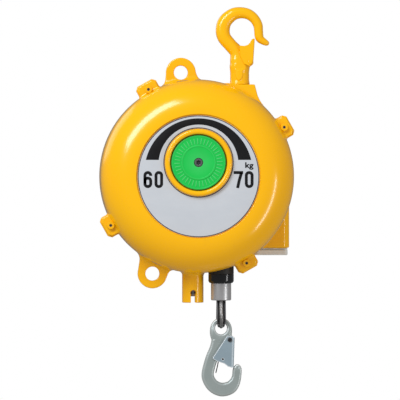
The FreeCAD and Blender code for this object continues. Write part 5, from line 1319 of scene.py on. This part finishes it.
def ear_socket_shade():
    """Dark linings in the painted bolts' sockets: painted shade for the shade deep in each socket."""
    low_y = span("ear_bolts", Y)[0]
    return on_ears(spiked([
        (1.95, low_y + 0.35, True), (1.95, low_y + 2.5, True), (0.01, low_y + 2.5, True),
        (0.01, low_y + 1.6, True), (1.2, low_y + 1.6, True), (1.2, low_y + 0.35, True)],
        3.38, (0.0, 0.0)), "dark_steel")


def nut_rows(start, height, flats, bore):
    """Rows of a hexagon nut with chamfered corners and bore."""
    corner = flats / math.sqrt(3.0)
    rise = (corner - flats / 2.0) * 0.6
    return [
        (flats / 2.0 - 0.1, start, True), ((corner + flats / 2.0) / 2.0, start + rise * 0.5, True),
        (corner, start + rise, True), (corner, start + height - rise, True),
        ((corner + flats / 2.0) / 2.0, start + height - rise * 0.5, True),
        (flats / 2.0 - 0.1, start + height, True), (bore + 0.7, start + height, False),
        (bore, start + height - 0.7, False), (bore, start + 0.7, False), (bore + 0.7, start, False)]


def ear_nuts():
    """Hexagon nuts behind the ears."""
    low_y, high_y = span("ear_nuts", Y)
    return on_ears(spiked(nut_rows(low_y, high_y - low_y, 10.0, 3.05), 10.0, (0.0, 0.0)), "zinc")


def rear_fasteners():
    """Nut and washer of the main shaft."""
    start, end = span("shaft_nut", Y)
    nut = spiked(nut_rows(start, end - start, 24.0, 8.05), 24.0, (0.0, 0.0))
    start, end = span("shaft_washer", Y)
    washer = turned([(8.15, start, 0.2), (17.0, start, 0.5), (17.0, end, 0.5), (8.15, end, 0.2)], "zinc")
    return nut, washer


def hook_nut():
    """Nut that holds the upper hook in its block."""
    start, end = span("hook_nut", Z)
    return spiked(nut_rows(start, end - start, 22.0, 7.55), 22.0, NECK[:2], True)


# ---- hooks and latches ---------------------------------------------------------------------------
def round_bowl(centre, radius, bends):
    """Stations round a hook's opening from (degrees, width, thickness) rows."""
    rows = []
    for degrees, width, thick in bends:
        turn = math.radians(degrees)
        reach = radius + width / 2.0
        rows.append((centre[0] + reach * math.cos(turn), centre[1] + reach * math.sin(turn),
                     width, thick))
    return rows


def upper_hook():
    """Forged shank hook: swelling shank, round bowl and a tip that flares outwards."""
    axis = NECK.x
    foot = size("body_radius") - DROP - 5.9
    bend = foot + 29.9
    bowl = (axis + 2.8, bend + 37.0)
    bends = [(200.0, 16.9, 17.5), (175.0, 17.3, 17.0), (150.0, 17.0, 16.5), (120.0, 15.4, 15.5),
             (95.0, 14.0, 14.5), (70.0, 13.2, 13.8), (45.0, 12.2, 13.0),
             (20.0, 11.6, 12.2), (0.0, 11.0, 11.6)]
    arm = bowl[0] + 21.2
    flats_foot, flats_top = 116.5, 152.0    # two flats leave the latch's cheeks room
    stations = [(axis, bend - 8.0, 23.4, 23.4), (axis - 0.3, bend - 1.0, 23.2, 21.5),
                (axis - 3.4, bend + 9.8, 17.6, 19.0), (axis - 11.4, bend + 18.8, 16.2, 18.0)]
    stations += round_bowl(bowl, 15.2, bends)
    stations += [(arm, bowl[1] - 6.5, 10.8, 11.2), (arm + 1.6, bowl[1] - 10.4, 10.0, 10.4),
                 (arm + 5.4, bowl[1] - 13.3, 8.6, 9.0), (arm + 8.8, bowl[1] - 15.2, 7.0, 7.4),
                 (arm + 10.0, bowl[1] - 15.8, 5.4, 6.0)]

    def form(p):
        deep = np.abs(p[:, Y] - ROPE_Y)
        from_axis = np.hypot(p[:, X] - axis, p[:, Y] - ROPE_Y)
        solid = bar(p, stations, ROPE_Y, 0.92)
        swell = NECK_R + 0.8 * (1.0 - np.clip((p[:, Z] - foot) / 5.0, 0.0, 1.0))
        tall = np.abs(p[:, Z] - (foot + bend - 6.0) / 2.0) - (bend - 6.0 - foot) / 2.0
        solid = blended(solid, corner_join(from_axis - swell, tall, 0.8), 2.5)
        boss = np.hypot((p[:, X] - axis + 1.2) / 4.4, (p[:, Z] - foot - 14.0) / 9.2) - 1.0
        boss = np.maximum(boss * 4.4, from_axis - NECK_R - 0.75)
        boss = np.maximum(boss, p[:, Y] - ROPE_Y + 4.0)
        solid = blended(solid, boss, 0.6)
        flats = NECK_R - 1.0 + np.clip((flats_foot - p[:, Z]) / 3.0, 0.0, 1.0) * 2.0
        solid = np.maximum(solid, np.where(p[:, Z] < flats_top, deep - flats, -9.0))
        cheek = rod(p, Y, (UPPER_PIN.x, UPPER_PIN.z), CHEEK_R, ROPE_Y - CHEEK_HALF,
                    ROPE_Y + CHEEK_HALF, 0.8)
        root = corner_join(np.abs(p[:, X] - (axis + UPPER_PIN.x) / 2.0) - (UPPER_PIN.x - axis) / 2.0,
                           np.abs(p[:, Z] - UPPER_PIN.z) - CHEEK_R, 0.5)
        root = corner_join(root, deep - CHEEK_HALF, 0.8)
        return blended(solid, np.minimum(cheek, root), 3.0)
    return skinned(form, (bowl[0] - 36.0, ROPE_Y - 13.5, foot),
                   (arm + 15.0, ROPE_Y + 13.5, bowl[1] + 35.0), 0.75)


def lower_hook():
    """Forged eye hook: round eye, flat body with bevelled edges, bowl and slim tip."""
    x = ROPE.x
    hole = EYE_Z - 8.2
    bowl = (x + 2.5, EYE_Z - 56.1)
    stations = [(x - 0.4, hole - 0.8, 24.5, 9.0), (x - 1.0, hole - 7.0, 21.5, 10.5),
                (x - 6.0, hole - 18.0, 17.0, 11.5), (x - 12.0, hole - 30.0, 15.0, 12.0)]
    bends = [(178.0, 14.9, 12.0), (205.0, 15.4, 12.0), (235.0, 16.2, 12.0), (265.0, 16.8, 12.0),
             (295.0, 16.0, 11.8), (318.0, 13.6, 11.2), (340.0, 11.6, 10.6), (356.0, 11.2, 10.4)]
    stations += round_bowl(bowl, 11.6, bends)
    tip = bowl[0] + 17.6
    stations += [(tip, bowl[1] + 4.4, 11.0, 10.0), (tip + 0.4, bowl[1] + 7.2, 8.6, 8.6)]
    pin = (LOWER_PIN.x, LOWER_PIN.z)
    neck = [(x + 2.0, hole - 1.5), (pin[0] + 3.5, pin[1] + 4.2), (pin[0], pin[1] - 5.2),
            (x + 2.0, pin[1] - 9.0)]
    front, back = ROPE_Y - 4.5, ROPE_Y + 4.5

    def form(p):
        deep = np.abs(p[:, Y] - ROPE_Y) - 4.2
        ring = np.hypot(p[:, X] - x, p[:, Z] - EYE_Z)
        eye = corner_join(np.abs(ring - 10.6) - 2.4, deep, 2.1)
        disc = corner_join(ring - 13.0, deep, 2.1)
        solid = blended(bar(p, stations, ROPE_Y, 0.55),
                        np.where(ring > 10.6, disc, np.minimum(eye, disc)), 7.0)
        cheek = np.minimum(slab(p, neck, front, back, 0.8), rod(p, Y, pin, 5.4, front, back, 0.8))
        solid = blended(solid, cheek, 2.0)
        solid = carved(solid, rod(p, Y, (x, EYE_Z), 7.5, ROPE_Y - 20.0, ROPE_Y + 20.0), 2.2)
        return carved(solid, rod(p, Y, pin, LOWER_PIN_BORE, ROPE_Y - 20.0, ROPE_Y + 20.0), 0.3)
    return skinned(form, (bowl[0] - 31.0, ROPE_Y - 7.0, bowl[1] - 32.0),
                   (bowl[0] + 24.0, ROPE_Y + 7.0, EYE_Z + 13.5), 0.62)


def latch(outline, foot, head, reach, thickness, bend, holes):
    """Sheet folded into a channel: two cheeks with an (x, z) outline, and the back that joins
    them along the line from foot to head."""
    way = Vector((head[0] - foot[0], head[1] - foot[1])).normalized()

    def form(p):
        flat = outline_distance(p[:, X], p[:, Z], inset(outline, 0.9)) - 0.9
        back = (p[:, X] - foot[0]) * way.y - (p[:, Z] - foot[1]) * way.x
        deep = np.abs(p[:, Y] - ROPE_Y) - reach
        solid = np.maximum(corner_join(flat, deep, 0.35), corner_join(back, deep, bend))
        hollow = corner_join(deep + thickness, back + thickness, max(bend - thickness, 0.1))
        solid = carved(solid, hollow, 0.25)
        for x, z, radius in holes:
            solid = carved(solid, rod(p, Y, (x, z), radius, ROPE_Y - 30.0, ROPE_Y + 30.0), 0.2)
        return solid
    x, z = [point[0] for point in outline], [point[1] for point in outline]
    return skinned(form, (min(x), ROPE_Y - reach, min(z)), (max(x), ROPE_Y + reach, max(z)), 0.42)


def upper_latch():
    """Latch that closes the upper hook's mouth."""
    x, z = UPPER_PIN.x, UPPER_PIN.z
    foot, head = (x + 3.9, z - 2.0), (x + 5.9, z + 29.2)
    outline = [(x - 13.2, z + 20.6), (x - 7.3, z + 20.1), (x - 2.6, z + 21.4), (x + 0.6, z + 24.4),
               (x + 3.4, z + 29.2), head, foot, (x - 0.8, z - 4.8), (x - 7.3, z - 2.1),
               (x - 12.1, z + 7.4)]
    return latch(outline, foot, head, 12.6, 1.6, 1.9, [(x, z, 2.15)])


def lower_latch():
    """Latch that closes the load hook's mouth."""
    x, z = LOWER_PIN.x, LOWER_PIN.z
    foot, head = (x + 4.9, z - 34.8), (x + 6.1, z + 2.5)
    outline = [(x - 3.4, z + 4.9), (x + 3.2, z + 4.9), head, foot, (x + 3.3, z - 34.8),
               (x - 2.4, z - 33.2), (x - 6.5, z - 29.8), (x - 16.2, z - 26.5), (x - 20.8, z - 23.8),
               (x - 21.3, z - 22.4)]
    holes = [(x, z, LOWER_PIN_BORE), (*LATCH_SPRING, 1.2)]
    return latch(outline, foot, head, LATCH_HALF, 1.4, 2.9, holes)


def rivet(place, radius, half, head_r, head_t):
    """Cross rivet along Y with a low domed head at both ends."""
    return turned([
        (0.0, ROPE_Y - half - head_t, 0.0), (head_r, ROPE_Y - half - head_t, head_t * 0.7),
        (head_r, ROPE_Y - half, 0.2), (radius, ROPE_Y - half, 0.0), (radius, ROPE_Y + half, 0.0),
        (head_r, ROPE_Y + half, 0.2), (head_r, ROPE_Y + half + head_t, head_t * 0.7),
        (0.0, ROPE_Y + half + head_t, 0.0)], "zinc", (place.x, place.z), segments=48, closed=False)


# ---- rope end, guide and drum lock ---------------------------------------------------------------
def rope_guide():
    """Nylon mouth that the rope runs through, with a collar below the barrel."""
    low_z, high_z = span("rope_guide", Z)
    return turned([
        (9.0, high_z, 0.6), (9.0, low_z + 3.0, 0.2), (13.7, low_z + 3.0, 0.3),
        (13.7, low_z + 10.0, 0.2), (15.8, low_z + 10.0, 0.2), (15.8, low_z - 0.1, 0.3),
        (11.5, low_z - 0.1, 0.3), (11.5, low_z, 0.1), (6.6, low_z, 0.3), (3.6, low_z + 3.0, 1.0),
        (3.6, high_z - 3.0, 1.0), (6.6, high_z, 0.3)],
        "guide_nylon", ROPE[:2], True)


def bumper():
    """Rubber stop on the rope."""
    low_z, high_z = span("bumper", Z)
    return turned([
        (2.65, low_z, 0.3), (14.2, low_z, 1.4), (15.8, low_z + 2.4, 1.6), (15.8, high_z, 0.3),
        (2.65, high_z, 0.4)], "bumper_rubber", ROPE[:2], True, 128)


def ferrule():
    """Swaged sleeve that closes the rope's loop."""
    low_z, high_z = span("ferrule", Z)
    return turned([
        (0.0, low_z, 0.0), (12.6, low_z, 1.5), (12.6, high_z, 0.5), (0.0, high_z, 0.0)],
        "ferrule_steel", ROPE[:2], True, 128, closed=False)


def laid_rope(points):
    """Wire rope of two layers of strands along a path of row-frame places."""
    mesh = bpy.data.meshes.new("path")
    mesh.from_pydata(points, [(i, i + 1) for i in range(len(points) - 1)], [])
    layers = []
    rope_r, strand = 2.45 * MM, size("strand_radius") * MM
    for count, reach, turns in ((8, rope_r, 24.0), (4, rope_r - 1.75 * strand, -30.0)):
        layers.append(modifier_mesh(mesh, tree_of(laid_rope_tree), {
            "Strands": count, "Rope Radius": reach, "Strand Radius": strand,
            "Turns Per Metre": turns, "Step": 0.0012, "Material": material_of("rope_wire")}))
    return tidy(joined(layers), 60.0)


def rope_run():
    """Rope from the drum to the ferrule."""
    low_z, high_z = span("rope_run", Z)
    return laid_rope([at(ROPE.x, ROPE.y, low_z), at(ROPE.x, ROPE.y, high_z)])


def loop_line(count):
    """Teardrop of the rope's loop in the YZ plane: leg, bend and leg, as (y, z)."""
    bend, leg, top = 11.7, 2.9, span("ferrule", Z)[0] + 5.0
    centre = span("rope_loop", Z)[0] + 2.5 + bend
    drop = top - centre
    touch = math.atan2(drop, leg) - math.acos(bend / math.hypot(leg, drop))
    bow = [(ROPE.y + bend * math.cos(turn), centre + bend * math.sin(turn))
           for turn in np.linspace(touch, -math.pi - touch, count)]
    return [(ROPE.y + leg, top), *bow, (ROPE.y - leg, top)]


def rope_loop():
    """Two legs out of the ferrule and a bend round the thimble."""
    return laid_rope([at(ROPE.x, y, z) for y, z in loop_line(40)])


def thimble():
    """Steel channel that lines the loop from the ferrule down, round the bend and up again."""
    x = span("thimble", X)
    foot, top = span("rope_loop", Z)[0], span("ferrule", Z)[0] + 0.6
    line = loop_line(28)

    def form(p):
        inside = outline_distance(p[:, Y], p[:, Z], line)
        wide = np.abs(p[:, X] - halfway("thimble", X)) - (x[1] - x[0]) / 2.0 - 0.3
        wide = wide + np.clip((foot + 9.0 - p[:, Z]) / 9.0, 0.0, 1.0) * 2.2
        lip = corner_join(np.abs(inside + 1.5) - 2.4, wide, 0.4)
        groove = np.maximum(-2.8 - inside, wide + 1.5)
        return np.maximum(carved(lip, groove, 0.3), p[:, Z] - top)
    return skinned(form, (x[0] - 0.5, ROPE.y - 14.0, foot), (x[1] + 0.5, ROPE.y + 14.0, top), 0.4)


def lock_pin():
    """Plunger of the drum lock."""
    low_z, high_z = span("lock_pin", Z)
    return turned([
        (0.0, low_z, 0.0), (8.0, low_z, 0.8), (8.0, low_z + 9.0, 0.6), (4.0, low_z + 9.0, 0.4),
        (4.0, high_z, 0.8), (0.0, high_z, 0.0)], "steel", LOCK[:2], True, 64, closed=False)


def cross_pin():
    """Pin through the lock's plunger that the user pushes up."""
    low_y, high_y = span("lock_cross_pin", Y)
    return round_bar(2.4, low_y, high_y, 0.5, "dark_steel", (LOCK.x, halfway("lock_cross_pin", Z)))


def lock_spring():
    """Spring that pushes the lock's pin down; its outer wires touch the ends of its room."""
    low_z, high_z = span("lock_spring", Z)
    wire_r = 0.8
    line = bpy.data.meshes.new("none")
    return tidy(modifier_mesh(line, tree_of(coil_tree), {
        "Turns": 6.0, "Coil Radius": 5.8 * MM, "Height": (high_z - low_z - 2.0 * wire_r) * MM,
        "Wire Radius": wire_r * MM, "Centre": tuple(at(LOCK.x, LOCK.y, low_z + wire_r)),
        "Material": material_of("spring_steel")}), 60.0)


def latch_spring():
    """Wire of the lower latch's spring where it shows in the hook's bowl, and its pin's two ends."""
    x, z = LOWER_PIN.x, LOWER_PIN.z
    wire_r = 0.7 * MM
    places = [(x - 13.6, z - 24.6), (x - 14.4, z - 29.5), (x - 15.6, z - 35.2), (x - 17.1, z - 41.4)]
    line = bpy.data.meshes.new("wire")
    links = [(i, i + 1) for i in range(len(places) - 1)]
    line.from_pydata([at(u, ROPE_Y, v) for u, v in places], links, [])
    leg = tidy(modifier_mesh(line, tree_of(laid_rope_tree), {
        "Strands": 1, "Rope Radius": wire_r, "Strand Radius": wire_r, "Turns Per Metre": 0.0,
        "Step": 0.001, "Material": material_of("dark_steel")}), 60.0)
    pin_end = 1.6
    starts = (ROPE_Y - LATCH_HALF - 0.1, ROPE_Y + LATCH_HALF + 0.1 - pin_end)
    end = joined([round_bar(1.15, start, start + pin_end, 0.2, "dark_steel", LATCH_SPRING, segments=24)
                  for start in starts])
    return leg, end


def worm_cap():
    """Moulded cap under the worm box, with the hole for the setting key and a rim step."""
    x, y, z = span("worm_cap", X), span("worm_cap", Y), span("worm_cap", Z)

    def form(p):
        sides = [np.abs(p[:, axis] - (a + b) / 2.0) - (b - a) / 2.0
                 for axis, (a, b) in ((X, x), (Y, y), (Z, z))]
        plan = corner_join(sides[0], sides[1], 4.0)
        solid = corner_join(plan, sides[2], 1.2)
        groove = np.maximum(-(plan + 0.7), np.abs(p[:, Z] - z[1] + 2.0) - 0.5)
        solid = carved(solid, groove, 0.3)
        solid = carved(solid, rod(p, Z, (WORM.x, WORM.y), 8.5, z[0] - 2.0, z[0] + 1.2), 0.4)
        return carved(solid, rod(p, Z, (WORM.x, WORM.y), 6.0, z[0] - 3.0, z[1] + 3.0), 0.4)
    return skinned(form, (x[0], y[0], z[0]), (x[1], y[1], z[1]), 0.7)


# ---- operators: one for each piece or group ------------------------------------------------------
class BALANCER_OT_front_housing(bpy.types.Operator):
    """Build the front dome with its lip, cup and ears"""
    bl_idname = "balancer.front_housing"
    bl_label = "Front Housing"
    bl_options = {"REGISTER", "UNDO"}

    def execute(self, context):
        parts = [front_shell(), ears(PARTING_Y - 7.0, PARTING_Y, 0.0)]
        piece("FrontHousing", joined(parts), "housing", "housing_paint", ["front_housing"])
        return {"FINISHED"}


class BALANCER_OT_rear_housing(bpy.types.Operator):
    """Build the barrel and rear dome with their block, lugs, tube and worm box"""
    bl_idname = "balancer.rear_housing"
    bl_label = "Rear Housing"
    bl_options = {"REGISTER", "UNDO"}

    def execute(self, context):
        piece("RearHousing", rear_shell(), "housing", "housing_paint", ["rear_housing"])
        for name, casting in (
                ("RearEars", ears(PARTING_Y, PARTING_Y + 9.0, 1.5)),
                ("SuspensionBlock", suspension_block()),
                ("SafetyLug", lug(98.6, 10.4, 18.5, 0.9, 6.0)),
                ("LowerLug", lug(-114.4, 12.9, 18.3, -2.9, 4.0)),
                ("LockTube", lock_tube()), ("GuideBoss", guide_boss()),
                ("WormBox", worm_box()), ("ShaftBoss", rear_boss())):
            piece(name, casting, "housing", "housing_paint")
        piece("WormCap", worm_cap(), "housing", "strip_plastic", ["worm_cap"])
        return {"FINISHED"}


class BALANCER_OT_fasteners(bpy.types.Operator):
    """Build the ear bolts and nuts and the nut and washer of the main shaft"""
    bl_idname = "balancer.fasteners"
    bl_label = "Fasteners"
    bl_options = {"REGISTER", "UNDO"}

    def execute(self, context):
        piece("EarBolts", ear_bolts(), "housing", "housing_paint", ["ear_bolts"])
        # the dark linings in the bolt sockets are painted shade
        piece("EarSockets", ear_socket_shade(), "housing", "dark_steel")
        piece("EarNuts", ear_nuts(), "housing", "zinc", ["ear_nuts"])
        nut, washer = rear_fasteners()
        piece("ShaftNut", nut, "housing", "zinc", ["shaft_nut"])
        piece("ShaftWasher", washer, "housing", "zinc", ["shaft_washer"])
        return {"FINISHED"}


class BALANCER_OT_name_plate(bpy.types.Operator):
    """Build the plate with its load scale; it carries no name"""
    bl_idname = "balancer.name_plate"
    bl_label = "Name Plate"
    bl_options = {"REGISTER", "UNDO"}

    def execute(self, context):
        piece("NamePlate", name_plate(), "housing", "plate_print", ["name_plate"])
        prints = [
            ring_print(size("plate_radius") - 1.2, 0.9, DROP),
            ring_print(size("plate_bore") + 0.3, 0.9, 0.0),
            scale_crescent(), lettering("kg", 57.4, 67.7, -8.9, 0.4, 0.035)]
        for sign, left, right in (("6", -67.8, -57.0), ("0", -54.2, -43.6),
                                  ("7", 43.2, 55.0), ("0", 57.0, 67.8)):
            prints += numeral(sign, left, right, -31.4, -10.5, 3.7)
        piece("LoadScale", joined(prints), "housing", "scale_ink")
        return {"FINISHED"}


class BALANCER_OT_hub_cap(bpy.types.Operator):
    """Build the hub cap with its grip ribs and its screw"""
    bl_idname = "balancer.hub_cap"
    bl_label = "Hub Cap"
    bl_options = {"REGISTER", "UNDO"}

    def execute(self, context):
        ribs = patterned(cap_rib(), 40, 26.2, 0.04, at(0.0, LIP_Y + 3.8, 0.0), "cap_plastic")
        piece("HubCap", joined([hub_cap(), ribs]), "housing", "cap_plastic", ["hub_cap"])
        low_y, high_y = span("cap_screw", Y)
        screw = socket_screw(4.9, low_y, 4.0, 3.0, high_y, 5.0, 2.5)
        piece("CapScrew", screw, "housing", "dark_steel", ["cap_screw"])
        return {"FINISHED"}


class BALANCER_OT_upper_hook(bpy.types.Operator):
    """Build the hook that the balancer hangs from, its nut, latch and rivet"""
    bl_idname = "balancer.upper_hook"
    bl_label = "Upper Hook"
    bl_options = {"REGISTER", "UNDO"}

    def execute(self, context):
        piece("UpperHook", upper_hook(), "upper_hook", "housing_paint", ["upper_hook"])
        piece("HookNut", hook_nut(), "upper_hook", "zinc", ["hook_nut"])
        piece("UpperLatch", upper_latch(), "upper_latch", "housing_paint", ["upper_latch"])
        pin = rivet(UPPER_PIN, 2.0, 12.7, 2.7, 1.3)
        piece("UpperLatchRivet", pin, "upper_hook", "housing_paint", ["upper_latch_rivet"])
        return {"FINISHED"}


class BALANCER_OT_rope_end(bpy.types.Operator):
    """Build the rope guide, the rope's end, bumper, ferrule, loop and thimble"""
    bl_idname = "balancer.rope_end"
    bl_label = "Rope End"
    bl_options = {"REGISTER", "UNDO"}

    def execute(self, context):
        piece("RopeGuide", rope_guide(), "housing", "guide_nylon", ["rope_guide"])
        piece("RopeRun", rope_run(), "rope_end", "rope_wire", ["rope_run"])
        piece("Bumper", bumper(), "rope_end", "bumper_rubber", ["bumper"])
        piece("Ferrule", ferrule(), "rope_end", "ferrule_steel", ["ferrule"])
        piece("RopeLoop", rope_loop(), "rope_end", "rope_wire", ["rope_loop"])
        piece("Thimble", thimble(), "rope_end", "dark_steel", ["thimble"])
        return {"FINISHED"}


class BALANCER_OT_lower_hook(bpy.types.Operator):
    """Build the load hook, its latch, rivet and spring wire"""
    bl_idname = "balancer.lower_hook"
    bl_label = "Lower Hook"
    bl_options = {"REGISTER", "UNDO"}

    def execute(self, context):
        piece("LowerHook", lower_hook(), "lower_hook", "zinc", ["lower_hook"])
        piece("LowerLatch", lower_latch(), "lower_latch", "latch_zinc", ["lower_latch"])
        pin = rivet(LOWER_PIN, 2.2, 8.1, 2.9, 1.2)
        piece("LowerLatchRivet", pin, "lower_hook", "dark_steel", ["lower_latch_rivet"])
        leg, end = latch_spring()
        piece("LatchSpring", end, "lower_latch", "dark_steel")
        piece("LatchSpringLeg", leg, "lower_hook", "dark_steel")
        return {"FINISHED"}


class BALANCER_OT_drum_lock(bpy.types.Operator):
    """Build the pin, cross pin and coil spring of the drum lock"""
    bl_idname = "balancer.drum_lock"
    bl_label = "Drum Lock"
    bl_options = {"REGISTER", "UNDO"}

    def execute(self, context):
        piece("LockPin", lock_pin(), "lock", "steel", ["lock_pin"])
        piece("LockCrossPin", cross_pin(), "lock", "dark_steel", ["lock_cross_pin"])
        piece("LockSpring", lock_spring(), "lock", "spring_steel", ["lock_spring"])
        return {"FINISHED"}


class BALANCER_OT_inner_works(bpy.types.Operator):
    """Finish the drum, spring, bearings and gears that are sealed in the housings"""
    bl_idname = "balancer.inner_works"
    bl_label = "Inner Works"
    bl_options = {"REGISTER", "UNDO"}

    def execute(self, context):
        slots = {row["node"]: row["material_slot"] for row in frame["record"]["subparts"]}
        for name, node in frame["nodes"].items():
            node.data.materials.clear()
            node.data.materials.append(material_of(slots[name]))
        return {"FINISHED"}


def lamp(name, aim, reach, degrees, tilt, long, wide, watts, colour):
    """Soft light at a tilt from the front and some degrees round it, its long side tangential."""
    turn, lean = math.radians(degrees), math.radians(tilt)
    out = Vector((math.cos(turn) * math.sin(lean), -math.cos(lean), math.sin(turn) * math.sin(lean)))
    along = Vector((-math.sin(turn), 0.0, math.cos(turn)))
    light = bpy.data.lights.new(name, "AREA")
    light.shape = "RECTANGLE"
    light.size, light.size_y = long, wide
    light.energy = watts
    light.color = colour
    holder = bpy.data.objects.new(name, light)
    holder.location = aim + out * reach
    holder.rotation_euler = Matrix((along, out.cross(along), out)).transposed().to_euler()
    bpy.context.scene.collection.objects.link(holder)


def white_world():
    """World that is white to the camera, dim to mirrored rays and mid grey to all others."""
    world = bpy.data.worlds.new("white")
    world.use_nodes = True
    world.node_tree.nodes.clear()
    g = Graph(world.node_tree)
    rays = world.node_tree.nodes.new("ShaderNodeLightPath")
    seen = Value(g, rays.outputs["Is Camera Ray"])
    mirrored = Value(g, rays.outputs["Is Glossy Ray"])
    light, glossy, white = [
        g.node("ShaderNodeBackground", {}, {"Color": rgb(*colour), "Strength": 1.0})
        for colour in ((0.54, 0.51, 0.49), (0.16, 0.165, 0.17), (1.0, 1.0, 1.0))]
    mixed = g.node("ShaderNodeMixShader", {}, {0: mirrored, 1: light, 2: glossy})
    mixed = g.node("ShaderNodeMixShader", {}, {0: seen, 1: mixed, 2: white})
    g.node("ShaderNodeOutputWorld", {}, {"Surface": mixed})
    bpy.context.scene.world = world


CAMERA_AIM = (1.85, -64.0, -46.1)   # millimetres from the drum's axis
CAMERA_REACH = 6.0                  # metres
CAMERA_SIDE, CAMERA_RISE = math.radians(-2.2), math.radians(0.31)
CAMERA_LENS = 438.8
LAMP_AIM = Vector((0.0, -0.05, -0.02))  # metres from the drum's axis
LAMPS = (   # name, reach, degrees, tilt, long, wide, watts, colour
    ("Key", 1.65, 130.0, 49.5, 1.25, 0.50, 20.0, (0.96, 1.0, 1.05)),
    ("Strip", 1.4, -21.0, 55.0, 0.85, 0.07, 3.4, (1.0, 1.0, 1.0)),
    ("Rim", 1.5, 150.0, 125.0, 0.8, 0.8, 2.0, (1.0, 1.0, 1.0)),
)


class BALANCER_OT_stage(bpy.types.Operator):
    """Set the lamps, the white surroundings and the camera"""
    bl_idname = "balancer.stage"
    bl_label = "Stage"
    bl_options = {"REGISTER", "UNDO"}

    def execute(self, context):
        for name, *settings in LAMPS:
            lamp(name, ORIGIN + LAMP_AIM, *settings)
        white_world()
        camera = bpy.data.cameras.new("Camera")
        holder = bpy.data.objects.new("Camera", camera)
        bpy.context.scene.collection.objects.link(holder)
        aim = at(*CAMERA_AIM)
        level = math.cos(CAMERA_RISE)
        holder.location = aim + CAMERA_REACH * Vector((
            math.sin(CAMERA_SIDE) * level, -math.cos(CAMERA_SIDE) * level, math.sin(CAMERA_RISE)))
        holder.rotation_euler = (aim - holder.location).to_track_quat("-Z", "Y").to_euler()
        camera.lens = CAMERA_LENS
        camera.clip_end = 50.0
        bpy.context.scene.camera = holder
        bpy.context.scene.view_settings.view_transform = "Standard"
        return {"FINISHED"}


OPERATORS = (
    BALANCER_OT_front_housing, BALANCER_OT_rear_housing, BALANCER_OT_fasteners,
    BALANCER_OT_name_plate, BALANCER_OT_hub_cap, BALANCER_OT_upper_hook, BALANCER_OT_rope_end,
    BALANCER_OT_lower_hook, BALANCER_OT_drum_lock, BALANCER_OT_inner_works, BALANCER_OT_stage,
)


class BALANCER_PT_panel(bpy.types.Panel):
    bl_idname = "BALANCER_PT_panel"
    bl_label = "Spring Balancer"
    bl_space_type = "VIEW_3D"
    bl_region_type = "UI"
    bl_category = "Balancer"

    def draw(self, context):
        column = self.layout.column(align=True)
        for group in (context.scene.balancer_sizes, context.scene.balancer_looks):
            for name in group.__annotations__:
                column.prop(group, name)
        for operator in OPERATORS:
            column.operator(operator.bl_idname)


CLASSES = (BalancerSizes, BalancerLooks, *OPERATORS, BALANCER_PT_panel)


def register():
    for each in CLASSES:
        bpy.utils.register_class(each)
    bpy.types.Scene.balancer_sizes = bpy.props.PointerProperty(type=BalancerSizes)
    bpy.types.Scene.balancer_looks = bpy.props.PointerProperty(type=BalancerLooks)


def unregister():
    del bpy.types.Scene.balancer_looks
    del bpy.types.Scene.balancer_sizes
    for each in reversed(CLASSES):
        bpy.utils.unregister_class(each)


def main():
    register()
    for operator in OPERATORS:
        getattr(bpy.ops.balancer, operator.bl_idname.split(".")[1])()


if __name__ == "__main__":
    main()
